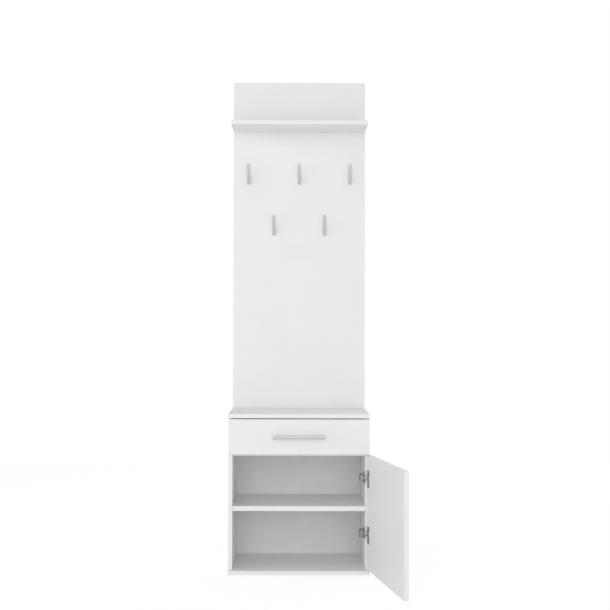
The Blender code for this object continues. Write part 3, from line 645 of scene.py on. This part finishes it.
# The plated, coated and moulded skins: each one's colour, the shade of its darker patches, the size in
# millimetres and the detail of those patches and of its relief, the range of its roughness, the relief's
# depth in millimetres and its strength, and the shader's values that are the same all over.
SKINS = {
    # Steel, pressed and nickel plated: bright and a little warm, with faint press marks and handling haze.
    NICKEL: {
        "colour": "nickel", "shade": (0.9, 0.893, 0.88), "patch": (6, 3.0), "relief": (0.9, 2.0),
        "rough": (0.3, 0.4), "depth": (0.012, 0.5), "even": {"Metallic": 1.0},
    },
    # The same nickel plate, drawn greyer as painted shade on the flanges, mounting plates, arms, links and
    # spring plates, with the same haze.
    NICKEL_IN_PAINTED_SHADE: {
        "colour": "dull_nickel", "shade": (0.9, 0.893, 0.88), "patch": (6, 3.0), "relief": (0.9, 2.0),
        "rough": (0.3, 0.4), "depth": (0.012, 0.5), "even": {"Metallic": 1.0},
    },
    # Steel screws, turned and bright zinc plated: a pale, faintly blue metal with small spots.
    ZINC: {
        "colour": "zinc", "shade": (0.82,), "patch": (1.5, 3.0), "relief": (1.5, 3.0),
        "rough": (0.24, 0.42), "depth": (0.008, 0.5), "even": {"Metallic": 1.0},
    },
    # Steel channel, powder coated white: a thick even skin. Its orange peel is 1 to 3 mm from crest to crest.
    ENAMEL: {
        "colour": "enamel", "shade": (0.95,), "patch": (50, 2.0), "relief": (2, 1.0),
        "rough": (0.3, 0.42), "depth": (0.03, 0.5), "even": {"IOR": 1.5, "Coat_Weight": 0.2},
    },
    # Steel screw heads dipped in white lacquer: a smooth skin that pools a little, in small, slightly darker
    # patches.
    LACQUER: {
        "colour": "enamel", "shade": (0.97,), "patch": (1.5, 1.0), "relief": (1.5, 1.0),
        "rough": (0.28, 0.4), "depth": (0.02, 0.5), "even": {"IOR": 1.5, "Coat_Weight": 0.25},
    },
    # Nylon, injection moulded in grey: matt and slightly waxy, with a fine spark-eroded texture.
    NYLON: {
        "colour": "nylon", "shade": (0.88,), "patch": (5, 2.0), "relief": (0.6, 3.0), "sheen": "relief",
        "rough": (0.44, 0.58), "depth": (0.015, 0.6),
        "even": {"IOR": 1.53, "Subsurface_Weight": 0.05, "Subsurface_Scale": 0.002},
    },
}


def skin(name):
    """A plated, coated or moulded skin, made the first time that a piece asks for it."""
    if name in bpy.data.materials:
        return bpy.data.materials[name]
    given = SKINS[name]
    base = getattr(bpy.context.scene.hallway_stand.metal, given["colour"])
    made, tree, shader, where = start_material(name, **given["even"])
    pattern = {}
    for part in ("patch", "relief"):
        size, detail = given[part]
        clouds = {"Vector": where, "Scale": 1 / (size * MM), "Detail": detail}
        pattern[part] = add(tree, "ShaderNodeTexNoise", clouds)
    paint = drifting(tree, pattern["patch"], base, shaded(base, *given["shade"]))
    smooth, coarse = given["rough"]
    to_rough = {0: pattern[given.get("sheen", "patch")], 1: 0.3, 2: 0.7, 3: smooth, 4: coarse}
    rough = add(tree, "ShaderNodeMapRange", to_rough, **SMOOTH)
    depth, strength = given["depth"]
    lay_on(tree, shader, paint, rough, pattern["relief"], depth * MM, strength)
    return made


def dress(node, finish):
    """Gives a node its finish in all of its material slots."""
    for place in frame["nodes"][node].material_slots:
        place.material = finish


# ---------------------------------------------------------------- screws


def screw_head(shape, radius, height, matrix, shank_radius=0.0, reach=0.0):
    """A screw along -Z with its head's top at the origin, and a cross recess cut into that.
    The head stands its height over its seat, and a shank runs on from there to the reach given."""
    sizes = bpy.context.scene.hallway_stand.screws
    flat = radius * (sizes.recess_reach + sizes.flat_rim)
    dome = min(radius - flat, height * sizes.dome)
    profile = [(0, 0), (flat, 0), *arc_points((radius - dome, -dome), dome, 80, 0, steps=5)]
    profile += [(radius, -height)]
    if reach > height:
        profile += [(shank_radius, -height), (shank_radius, -reach + 2 * shank_radius), (0, -reach)]
    else:
        profile += [(0, -height)]
    own = spun(shape, profile, sizes.steps)
    pole = [v for v in own if v.is_valid and v.co.length < SAME]
    bmesh.ops.dissolve_verts(shape, verts=pole)
    own = [v for v in own if v.is_valid]

    slot = radius * sizes.recess_width
    wing = radius * sizes.recess_reach
    top = flat_faces(own, flat)
    for axis in ((1, 0, 0), (0, 1, 0)):
        for offset in (-wing, -slot, slot, wing):
            cut = [*top, *{e for f in top for e in f.edges}, *{v for f in top for v in f.verts}]
            bmesh.ops.bisect_plane(shape, geom=cut, plane_co=Vector(axis) * offset, plane_no=axis, dist=HAIR)
            own = linked_verts(own)
            top = flat_faces(own, flat)
    cross = [f for f in top if in_cross(f.calc_center_median(), slot, wing)]
    moved = bmesh.ops.extrude_face_region(shape, geom=cross)["geom"]
    floor = [g for g in moved if isinstance(g, bmesh.types.BMVert)]
    depth = min(radius * sizes.recess_depth, height * sizes.recess_most)
    bmesh.ops.scale(shape, vec=(sizes.recess_taper, sizes.recess_taper, 1), verts=floor)
    bmesh.ops.translate(shape, vec=(0, 0, -depth), verts=floor)
    bmesh.ops.transform(shape, matrix=matrix, verts=linked_verts(own))


def linked_verts(verts):
    """All vertices that are joined to these by edges."""
    found = {v for v in verts if v.is_valid}
    edge = list(found)
    while edge:
        edge = [o for v in edge for e in v.link_edges for o in e.verts if o not in found]
        found.update(edge)
    return list(found)


def flat_faces(verts, reach):
    """The faces in the head's flat top."""
    faces = {f for v in verts if v.is_valid for f in v.link_faces}
    return [f for f in faces if all(abs(v.co.z) < HAIR and v.co.xy.length < reach + SAME for v in f.verts)]


def in_cross(point, slot, wing):
    x, y = abs(point.x), abs(point.y)
    return (x < slot and y < wing) or (y < slot and x < wing)


def screw_piece(name, body, matrix, radius, height, *nodes, shank_radius=0.0, reach=0.0, white=False):
    shape = bmesh.new()
    screw_head(shape, radius, height, matrix, shank_radius, reach)
    slot, finish = ("white_screw", LACQUER) if white else ("zinc_screw", ZINC)
    piece(name, shape, body, slot, skin(finish), *nodes, smooth=35)


class HALLWAY_OT_screws(bpy.types.Operator):
    """Make the wood screws with their cross recesses"""

    bl_idname = "hallway.screws"
    bl_label = "Screws"

    def execute(self, context):
        sizes = context.scene.hallway_stand.screws
        for node in sorted(n for n in frame["nodes"] if "screw" in n):
            body = frame["nodes"][node]["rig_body"]
            (low, high), turn = box_on(node, body)
            middle, size = (low + high) / 2, high - low
            axis = longest_axis(size)
            out = Vector((0, 0, 0))
            # Screws through a panel or a front come from behind, and all others from below.
            out[axis] = 1 if axis == Y else -1
            head = middle + out * size[axis] / 2
            screw_piece(
                f"wood_{node}", body, turn @ aim(head, out), sizes.head_radius, sizes.head_height, node,
                shank_radius=sizes.shank_radius, reach=size[axis], white=body == DOOR,
            )
        return {"FINISHED"}


# ---------------------------------------------------------------- boards


class HALLWAY_OT_boards(bpy.types.Operator):
    """Finish the melamine boards and the thin hardboard sheets"""

    bl_idname = "hallway.boards"
    bl_label = "Boards"

    def execute(self, context):
        boards = {
            ROOT: (
                "bottom_board", "top_board", "left_side", "right_side", "divider_board",
                "inner_shelf", "hook_panel", "hat_shelf",
            ),
            DRAWER: ("drawer_front", "drawer_left_side", "drawer_right_side", "drawer_back"),
            DOOR: ("door_panel",),
        }
        bare_rears = {"bottom_board", "top_board", "left_side", "right_side"}
        for body, nodes in boards.items():
            for node in nodes:
                dress(node, melamine_board(node, body, node in bare_rears))
        dress("cabinet_back", thin_fibreboard("cabinet_back", Y, -1))
        dress("drawer_bottom", thin_fibreboard("drawer_bottom", Z, 1))
        return {"FINISHED"}


# ---------------------------------------------------------------- hooks


class HALLWAY_OT_hooks(bpy.types.Operator):
    """Make the five flat bar hooks, each leaning out from a short foot"""

    bl_idname = "hallway.hooks"
    bl_label = "Hooks"

    def execute(self, context):
        sizes = context.scene.hallway_stand.hooks
        for node in HOOKS:
            low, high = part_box(node)
            shape = bmesh.new()
            bar_hook(shape, low, high, sizes)
            piece(f"bar_{node}", shape, ROOT, "satin_metal", brushed_metal(Z), node, smooth=50)
        return {"FINISHED"}


def bar_hook(shape, low, high, sizes):
    """The hook's side view, drawn out from the panel and up, then given its width."""
    height = high.z - low.z
    tip_out = high.y - low.y
    lean = Vector((0, -(tip_out - sizes.foot_out), height)).normalized()
    across = Vector((0, lean.z, -lean.y)) * sizes.thickness
    outer_low = Vector((0, high.y - sizes.foot_out, low.z))
    outer_high = Vector((0, low.y, high.z))
    inner_low, inner_high = outer_low + across, outer_high + across

    def on_bar(z):
        return inner_low.lerp(inner_high, (z - inner_low.z) / (inner_high.z - inner_low.z))

    foot_low, foot_high = low.z + sizes.foot_low, low.z + sizes.foot_high
    outline = [
        Vector((0, high.y, foot_low)),
        on_bar(foot_low - sizes.flare_low),
        Vector((0, inner_low.y, low.z)),
        Vector((0, outer_low.y, low.z)),
        outer_high,
        Vector((0, inner_high.y, high.z)),
        on_bar(foot_high + sizes.flare_high),
        Vector((0, high.y, foot_high)),
    ]
    near, far = (Vector((x, 0, 0)) for x in (low.x, high.x))
    verts, _ = prism(shape, outline, near, far)
    for radius, chosen in ((sizes.end_radius, verts[2:6]), (sizes.fillet, (verts[1], verts[6]))):
        edges = [e for v in chosen for e in v.link_edges if longest_axis(e.verts[0].co - e.verts[1].co) == X]
        bevel_edges(shape, edges, radius, 5)
    rims = [e for e in shape.edges if in_plane(e, X, low.x) or in_plane(e, X, high.x)]
    bevel_edges(shape, [e for e in rims if not in_plane(e, Y, high.y)], sizes.edge, 3)


# ---------------------------------------------------------------- handles


class HALLWAY_OT_handles(bpy.types.Operator):
    """Make the two bar handles, with round ends and two legs"""

    bl_idname = "hallway.handles"
    bl_label = "Handles"

    def execute(self, context):
        sizes = context.scene.hallway_stand.handles
        for body in (DRAWER, DOOR):
            node = f"{body}_handle"
            (low, high), turn = box_on(node, body)
            shape = bmesh.new()
            bar_handle(shape, low, high, sizes)
            satin = brushed_metal(X if body == DRAWER else Y)
            piece(f"bar_{node}", shape, body, "satin_metal", satin, node, turn=turn, smooth=50)
        return {"FINISHED"}


def bar_handle(shape, low, high, sizes):
    """A flat bar with round ends, on two round legs that each stand on a small foot."""
    half_height = (high.z - low.z) / 2
    rear = low.y + sizes.thickness
    own = rounded_box(shape, low, (high.x, rear, high.z), half_height * sizes.end_round, 8, axes=(Y,))
    rims = {e for v in own for e in v.link_edges if in_plane(e, Y, low.y) or in_plane(e, Y, rear)}
    bevel_edges(shape, rims, sizes.edge, 3)
    middle = (low + high) / 2
    reach = high.y - rear + sizes.thickness * sizes.leg_sunk
    foot, slope = sizes.foot_radius, sizes.foot_radius - sizes.leg_radius
    cut_in, cut_up = (millimetres * MM for millimetres in FOOT_CUT)
    profile = [(0, 0), (foot - cut_in, 0), (foot, cut_up), (foot, sizes.foot_height * FOOT_SIDE)]
    for step in range(1, FOOT_STEPS + 1):
        turn = TURN / 4 * step / FOOT_STEPS
        height = sizes.foot_height * (FOOT_SIDE + FOOT_CURVE * (1 - math.cos(turn)))
        profile.append((foot - slope * math.sin(turn), height))
    profile += [(sizes.leg_radius, reach), (0, reach)]
    for sign in (-1, 1):
        place = Vector((middle.x + sign * sizes.screw_spacing / 2, high.y, middle.z))
        spun(shape, profile, SMALL_STEPS, aim(place, (0, -1, 0)))


# ---------------------------------------------------------------- hinges


class HALLWAY_OT_hinges(bpy.types.Operator):
    """Make the concealed hinges: cups and flanges, mounting plates, arms, links and their screws"""

    bl_idname = "hallway.hinges"
    bl_label = "Hinges"

    def execute(self, context):
        sizes = context.scene.hallway_stand.hinges
        for place in HINGES:
            hinge_cup(place, sizes)
            hinge_plate(place, sizes)
            hinge_arm(place, sizes)
            hinge_link(place, sizes)
        return {"FINISHED"}


def hinge_cup(place, sizes):
    """A drawn cup with a rolled rim, in a flange with round corners and a screw at each end."""
    node = f"{place}_hinge_cup"
    low, high = shut_box(node)
    middle = (low + high) / 2
    turn = door_turn()
    depth, sheet = sizes.cup_depth, sizes.flange_sheet
    face = low.y + depth
    flange = bmesh.new()
    half = Vector((sizes.flange_width / 2, 0, (high.z - low.z) / 2))
    flange_plate(flange, Vector((middle.x, face, middle.z)), half, sizes)
    piece(f"{place}_flange", flange, DOOR, "hinge_steel", skin(NICKEL_IN_PAINTED_SHADE), node, turn=turn, smooth=35)

    radius, wall, bend, lip = sizes.cup_radius, sizes.cup_wall, sizes.cup_bend, sizes.cup_lip
    inner = bend - wall
    profile = [(0, -depth)]
    profile += arc_points((radius - bend, bend - depth), bend, -90, 0, steps=5)
    profile += [(radius, 0.0), (radius + lip, sheet), (radius + lip / 2, sheet + lip / 2)]
    profile += [(radius - lip / 4, sheet + lip / 2), (radius - wall, sheet)]
    profile += arc_points((radius - bend, bend - depth), inner, 0, -90, steps=5)
    profile += [(0, wall - depth)]
    cup = bmesh.new()
    spun(cup, profile, WIDE_STEPS, aim((middle.x, face, middle.z), (0, 1, 0)))
    piece(f"{place}_cup", cup, DOOR, "hinge_steel", skin(NICKEL), turn=turn, smooth=35)
    for number, sign in enumerate((1, -1), 1):
        seat = Vector((middle.x, face + sheet, middle.z + sign * sizes.flange_screw))
        low_screw(f"{place}_flange_screw_{number}", DOOR, seat, (0, 1, 0), sizes.flange_head, turn)


def low_screw(name, body, seat, out, radius, turn=None):
    """A low screw head that sits on a sheet, with the start of its shank."""
    sizes = bpy.context.scene.hallway_stand.screws
    height = sizes.low_height
    matrix = aim(seat + Vector(out) * height, out)
    screw_piece(
        name, body, turn @ matrix if turn else matrix, radius, height,
        shank_radius=radius * sizes.low_shank, reach=height * sizes.low_reach,
    )


def flange_plate(shape, centre, half, sizes):
    """The flange: a flat sheet with round corners and a hole for the cup, then its thickness."""
    outer = [
        shape.verts.new(centre + Vector((x * half.x, 0, z * half.z)))
        for x, z in ((1, 1), (-1, 1), (-1, -1), (1, -1))
    ]
    shape.faces.new(outer)
    bmesh.ops.bevel(
        shape, geom=outer, offset=sizes.flange_corner, offset_type="OFFSET", affect="VERTICES",
        segments=6, profile=0.5, material=-1,
    )
    bmesh.ops.delete(shape, geom=list(shape.faces), context="FACES_ONLY")
    hole = sizes.cup_radius - sizes.flange_overlap
    bmesh.ops.create_circle(
        shape, cap_ends=False, segments=WIDE_STEPS, radius=hole, matrix=aim(centre, (0, 1, 0)),
    )
    bmesh.ops.triangle_fill(shape, use_beauty=True, use_dissolve=False, edges=list(shape.edges))
    moved = bmesh.ops.extrude_face_region(shape, geom=list(shape.faces), use_keep_orig=True)["geom"]
    top = [g for g in moved if isinstance(g, bmesh.types.BMVert)]
    bmesh.ops.translate(shape, verts=top, vec=(0, sizes.flange_sheet, 0))
    bmesh.ops.recalc_face_normals(shape, faces=list(shape.faces))
    upper = centre.y + sizes.flange_sheet
    outside = sizes.cup_radius + sizes.flange_sheet
    rim = [
        e for e in shape.edges
        if in_plane(e, Y, upper) and abs(e.calc_face_angle(0)) > 1
        and (e.verts[0].co - centre).length > outside
    ]
    bevel_edges(shape, rim, sizes.flange_sheet / 3, 2)


def hinge_plate(place, sizes):
    """The mounting plate: two wings held by a screw each, and a rail under the arm."""
    node = f"{place}_hinge_plate"
    low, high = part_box(node)
    middle = (low + high) / 2
    wing_x = high.x - sizes.wing_sheet
    front, rear = sizes.wing_front, sizes.wing_front + sizes.wing_width
    rail = sizes.rail_half_height
    shape = bmesh.new()
    wing_low, wing_high = (wing_x, low.y + front, low.z), (high.x, low.y + rear, high.z)
    rounded_box(shape, wing_low, wing_high, sizes.wing_corner, 4, axes=(X,))
    rail_low = (low.x, low.y, middle.z - rail)
    rail_high = (wing_x + sizes.wing_sheet / 2, high.y, middle.z + rail)
    rounded_box(shape, rail_low, rail_high, sizes.rail_edge, 3)
    piece(f"{place}_mounting_plate", shape, ROOT, "hinge_steel", skin(NICKEL_IN_PAINTED_SHADE), node, smooth=35)
    for number, sign in enumerate((1, -1), 1):
        seat = Vector((wing_x, low.y + (front + rear) / 2, middle.z + sign * sizes.wing_screw))
        low_screw(f"{place}_plate_screw_{number}", ROOT, seat, (-1, 0, 0), sizes.wing_head)


def hinge_arm(place, sizes):
    """A pressed channel over the plate's rail. Its web faces inwards and carries the depth and side
    screws, its cheeks hold the pin on riveted heads, and a spring plate closes it behind the knuckle."""
    node = f"{place}_hinge_arm"
    low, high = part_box(node)
    pivot = Vector(joint(f"{place}_link_turn")["pos_m"])
    half = (high.z - low.z) / 2
    web = [pivot + Vector((x * MM, y * MM, 0)) for x, y in ARM_WEB]
    nose = [
        pivot + Vector((x, y, 0))
        for x, y in arc_points((0, 0), sizes.arm_nose, -90, 20, steps=6)
    ]
    mouth = web[-1].y + sizes.arm_mouth
    open_side = [Vector((high.x, mouth, pivot.z)), Vector((high.x, web[0].y, pivot.z))]
    up = Vector((0, 0, half))
    shape = bmesh.new()
    lower, upper = prism(shape, [*web, *nose, *open_side], -up, up)
    upper_of = {v: min(upper, key=lambda u: (u.co.xy - v.co.xy).length) for v in lower}
    count = len(web)
    ends = {*lower[count - 1 :], lower[0], *(upper_of[v] for v in (*lower[count - 1 :], lower[0]))}
    # The channel has no wall at its nose, along the side that lies on the plate, or at its rear end.
    gone = [f for f in shape.faces if len(f.verts) == 4 and set(f.verts) <= ends]
    bmesh.ops.delete(shape, geom=gone, context="FACES_ONLY")
    bends = [e for v in lower[1 : count - 1] for e in v.link_edges if e.other_vert(v) in upper]
    bevel_edges(shape, bends, sizes.arm_bend, 3)
    # The cheeks' rims and the lines along the web, which all run between points on the two cheeks.
    rims = [
        e for e in shape.edges
        if len(e.link_faces) == 2 and all(abs(abs(v.co.z - pivot.z) - half) < SAME for v in e.verts)
    ]
    bevel_edges(shape, rims, sizes.arm_rim, 3)
    arm = piece(f"{place}_arm", shape, ROOT, "hinge_steel", skin(NICKEL_IN_PAINTED_SHADE), node, smooth=50)
    wall = arm.modifiers.new("Sheet", "SOLIDIFY")
    wall.thickness = sizes.arm_sheet
    wall.offset = -1
    wall.use_even_offset = True

    inside = half - sizes.arm_sheet
    spring = bmesh.new()
    spring_low = web[-1] + Vector((-sizes.arm_sheet / 2, 2 * sizes.arm_sheet, -inside))
    spring_rear = spring_low.y + sizes.spring_sheet
    spring_high = Vector((pivot.x - sizes.spring_gap, spring_rear, pivot.z + inside))
    rounded_box(spring, spring_low, spring_high, sizes.spring_edge, 3)
    piece(f"{place}_spring_plate", spring, ROOT, "hinge_steel", skin(NICKEL_IN_PAINTED_SHADE), smooth=35)

    pin = bmesh.new()
    radius, head, dome = sizes.pin_radius, sizes.pin_head, sizes.pin_dome
    profile = [(0, half + dome), *arc_points((head - dome, half), dome, 90, 0, steps=4)]
    profile += [(radius, half), (radius, -half)]
    profile += [*arc_points((head - dome, -half), dome, 0, -90, steps=4), (0, -half - dome)]
    spun(pin, profile, PIN_STEPS, Matrix.Translation(pivot))
    piece(f"{place}_pin", pin, ROOT, "hinge_steel", skin(NICKEL), smooth=35)

    for number, (start, end, share) in enumerate(ARM_SCREWS, 1):
        seat = web[start].lerp(web[end], share)
        seat.z = pivot.z
        run = (web[end] - web[start]).normalized()
        out = Vector((run.y, -run.x, 0))
        out = out if out.x < 0 else -out
        low_screw(f"{place}_adjusting_screw_{number}", ROOT, seat, out, sizes.adjusting_head)


def hinge_link(place, sizes):
    """A pressed link: a rolled knuckle on the arm's pin, and a leaf that ends in a rolled eye in the cup."""
    node = f"{place}_hinge_link"
    swing = joint(f"{place}_link_turn")
    low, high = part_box(node)
    half = (high.z - low.z) / 2
    edge = sizes.link_edge
    bore, knuckle = sizes.pin_radius + edge / 4, sizes.knuckle_radius
    shape = bmesh.new()
    profile = [(bore, half), (knuckle - edge, half), (knuckle, half - edge)]
    profile += [(knuckle, edge - half), (knuckle - edge, -half), (bore, -half), (bore, half)]
    spun(shape, profile, SMALL_STEPS)
    sheet = sizes.link_sheet / 2
    eye = sizes.eye_radius
    start = math.degrees(math.asin(sheet / eye))
    root = knuckle * sizes.link_root
    outline = [(root, sheet), (root, -sheet)]
    outline += arc_points((sizes.link_length, 0), eye, start - 180, 180 - start, steps=12)
    width = Vector((0, 0, sizes.link_half_height))
    before = set(shape.verts)
    prism(shape, [Vector((x, y, 0)) for x, y in outline], -width, width)
    leaf = [v for v in shape.verts if v not in before]
    tip = [v for v in leaf if v.co.x > knuckle]
    bmesh.ops.scale(shape, vec=(1, 1, sizes.link_taper), verts=tip)
    rims = {e for v in leaf for e in v.link_edges if e.verts[0].co.z * e.verts[1].co.z > 0}
    bevel_edges(shape, rims, edge, 2)
    turn = Matrix.Translation(swing["pos_m"]) @ Matrix.Rotation(sizes.link_angle, 4, "Z")
    body = swing["child"]
    piece(f"{place}_link", shape, body, "hinge_steel", skin(NICKEL_IN_PAINTED_SHADE), node, turn=turn, smooth=40)


# ---------------------------------------------------------------- shelf pins and runners


class HALLWAY_OT_shelf_pins(bpy.types.Operator):
    """Make the four pins under the inner shelf"""

    bl_idname = "hallway.shelf_pins"
    bl_label = "Shelf Pins"

    def execute(self, context):
        end = context.scene.hallway_stand.shelf_pins.end_radius
        for node in sorted(n for n in frame["nodes"] if n.startswith("shelf_pin")):
            low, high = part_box(node)
            middle = (low + high) / 2
            sign = -1 if middle.x > 0 else 1
            top = Vector((high.x if sign > 0 else low.x, middle.y, middle.z))
            radius = (high.z - low.z) / 2
            reach = high.x - low.x
            shape = bmesh.new()
            profile = [(0, 0), *arc_points((radius - end, -end), end, 90, 0, steps=4)]
            profile += [(radius, -reach + end), (radius - end, -reach), (0, -reach)]
            spun(shape, profile, SMALL_STEPS, aim(top, (sign, 0, 0)))
            piece(f"steel_{node}", shape, ROOT, "hinge_steel", skin(NICKEL), node, smooth=35)
        return {"FINISHED"}


class HALLWAY_OT_runners(bpy.types.Operator):
    """Finish the drawer's runners and make their nylon rollers and screws"""

    bl_idname = "hallway.runners"
    bl_label = "Runners and Rollers"

    def execute(self, context):
        sizes = context.scene.hallway_stand.runners
        for side, sign in SIDES.items():
            for owner in ("cabinet", "drawer"):
                dress(f"{owner}_runner_{side}", skin(ENAMEL))
                node = f"{owner}_roller_{side}"
                shape = bmesh.new()
                low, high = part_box(node)
                nylon_roller(shape, low, high, sizes)
                piece(f"nylon_{node}", shape, node, "roller_nylon", skin(NYLON), node, smooth=35)
            low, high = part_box(f"cabinet_runner_{side}")
            wall = high.x if sign > 0 else low.x
            top = wall - sign * (sizes.channel_sheet + sizes.screw_proud)
            for number, place in enumerate(sizes.screw_places, 1):
                head = aim((top, low.y + place, (low.z + high.z) / 2), (-sign, 0, 0))
                name = f"cabinet_runner_screw_{side}_{number}"
                screw_piece(name, ROOT, head, sizes.head_radius, sizes.head_height)
        return {"FINISHED"}


def nylon_roller(shape, low, high, sizes):
    """A wheel with a hub, a thin web and a rounded tread, turned as the closed outline of its section."""
    middle = (low + high) / 2
    radius = (high.z - low.z) / 2
    half = (high.x - low.x) / 2
    hub = sizes.bore + sizes.hub_wall
    tread = radius - sizes.tread
    hollow = half - sizes.web
    upper = [(sizes.bore, half), (hub, half), (hub + sizes.slope, hollow)]
    upper += [(tread - sizes.slope, hollow), (tread, half)]
    upper += arc_points((radius - sizes.rim, half - sizes.rim), sizes.rim, 90, 0, steps=4)
    profile = upper + [(r, -h) for r, h in reversed(upper)]
    spun(shape, profile + profile[:1], WIDE_STEPS, aim(middle, (1, 0, 0)))


# ---------------------------------------------------------------- stage


class HALLWAY_OT_stage(bpy.types.Operator):
    """Set the pale floor, the even dome, the three soft lights and the camera"""

    bl_idname = "hallway.stage"
    bl_label = "Stage"

    def execute(self, context):
        scene = context.scene
        stage = scene.hallway_stand.stage
        scene.view_settings.view_transform = "Standard"
        lay_floor(stage)
        even_dome(scene, stage)
        soft_lights(stage)
        set_camera(scene, stage)
        return {"FINISHED"}


def lay_floor(stage):
    shape = bmesh.new()
    bmesh.ops.create_grid(shape, x_segments=1, y_segments=1, size=stage.floor_size / 2)
    mesh = bpy.data.meshes.new("studio_floor")
    shape.to_mesh(mesh)
    shape.free()
    floor = bpy.data.objects.new("studio_floor", mesh)
    bpy.context.scene.collection.objects.link(floor)
    floor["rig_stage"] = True
    mesh.materials.append(matt_floor(stage))


def matt_floor(stage):
    """Matt white studio paper: no gloss to speak of, and a white that drifts hardly at all. The camera sees
    a share of even white in it, so its shadows stay faint."""
    made, tree, shader, where = start_material(
        "Matt white studio floor", Roughness=0.9, Specular_IOR_Level=0.1,
    )
    soft = add(tree, "ShaderNodeTexNoise", {"Vector": where, "Scale": 1 / stage.floor_patch})
    paint = {0: soft, 6: stage.floor, 7: shaded(stage.floor, 0.995)}
    tree.links.new(add(tree, "ShaderNodeMix", paint, data_type="RGBA"), shader.inputs["Base Color"])
    glow = add(tree, "ShaderNodeEmission", {"Strength": stage.floor_white})
    seen = add(tree, "ShaderNodeLightPath", output="Is Camera Ray")
    seen = add(tree, "ShaderNodeMath", {0: seen, 1: stage.floor_glow}, operation="MULTIPLY")
    mixed = add(tree, "ShaderNodeMixShader", {0: seen, 1: shader.outputs[0], 2: glow})
    tree.links.new(mixed, tree.nodes["Material Output"].inputs["Surface"])
    return made


def even_dome(scene, stage):
    """An even white dome. What is seen of it is the plain white ground behind the stand."""
    world = bpy.data.worlds.new("Even white dome")
    world.use_nodes = True
    tree = world.node_tree
    light = tree.nodes["Background"]
    light.inputs["Color"].default_value = (1, 1, 1, 1)
    light.inputs["Strength"].default_value = stage.dome
    ground = add(tree, "ShaderNodeBackground", {"Color": (1, 1, 1), "Strength": stage.ground})
    seen = add(tree, "ShaderNodeLightPath", output="Is Camera Ray")
    mixed = add(tree, "ShaderNodeMixShader", {0: seen, 1: light.outputs[0], 2: ground})
    tree.links.new(mixed, tree.nodes["World Output"].inputs["Surface"])
    scene.world = world


def soft_lights(stage):
    """A large square light at each of its three places, turned to the middle of the stand."""
    low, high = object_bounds()
    middle = (Vector(low) + Vector(high)) / 2
    for name in ("key", "fill", "rear"):
        light = bpy.data.lights.new(f"Soft {name}", "AREA")
        light.shape = "SQUARE"
        light.size = stage.light_size
        light.energy = getattr(stage, f"{name}_power")
        lamp = bpy.data.objects.new(light.name, light)
        bpy.context.scene.collection.objects.link(lamp)
        lamp.visible_camera = False
        lamp.location = getattr(stage, name)
        lamp.rotation_euler = (middle - lamp.location).to_track_quat("-Z", "Y").to_euler()


def set_camera(scene, stage):
    data = bpy.data.cameras.new("Camera")
    data.type = "PERSP"
    data.lens = stage.lens
    data.sensor_width = stage.sensor
    data.dof.use_dof = False
    camera = bpy.data.objects.new("Camera", data)
    scene.collection.objects.link(camera)
    level = math.radians(90)
    camera.matrix_world = (
        Matrix.Translation(stage.camera_place)
        @ Matrix.Rotation(stage.camera_pan, 4, "Z")
        @ Matrix.Rotation(level + stage.camera_tilt, 4, "X")
        @ Matrix.Rotation(stage.camera_roll, 4, "Z")
    )
    scene.camera = camera


# ---------------------------------------------------------------- panel and registration

OPERATORS = (
    HALLWAY_OT_boards,
    HALLWAY_OT_hooks,
    HALLWAY_OT_handles,
    HALLWAY_OT_screws,
    HALLWAY_OT_hinges,
    HALLWAY_OT_shelf_pins,
    HALLWAY_OT_runners,
    HALLWAY_OT_stage,
)


class HALLWAY_PT_stand(bpy.types.Panel):
    """The stand's pieces and settings"""

    bl_label = "Hallway Stand"
    bl_idname = "HALLWAY_PT_stand"
    bl_space_type = "VIEW_3D"
    bl_region_type = "UI"
    bl_category = "Hallway Stand"

    def draw(self, context):
        for operator in OPERATORS:
            self.layout.operator(operator.bl_idname)


CLASSES = (
    BoardFinish,
    MetalFinish,
    HookSizes,
    HandleSizes,
    ScrewSizes,
    HingeSizes,
    ShelfPinSizes,
    RunnerSizes,
    StageSettings,
    StandSettings,
    *OPERATORS,
    HALLWAY_PT_stand,
)


def register():
    for made in CLASSES:
        bpy.utils.register_class(made)
    bpy.types.Scene.hallway_stand = PointerProperty(type=StandSettings)


def unregister():
    del bpy.types.Scene.hallway_stand
    for made in reversed(CLASSES):
        bpy.utils.unregister_class(made)


def main():
    register()
    for operator in OPERATORS:
        group, name = operator.bl_idname.split(".")
        getattr(getattr(bpy.ops, group), name)()


if __name__ == "__main__":
    main()
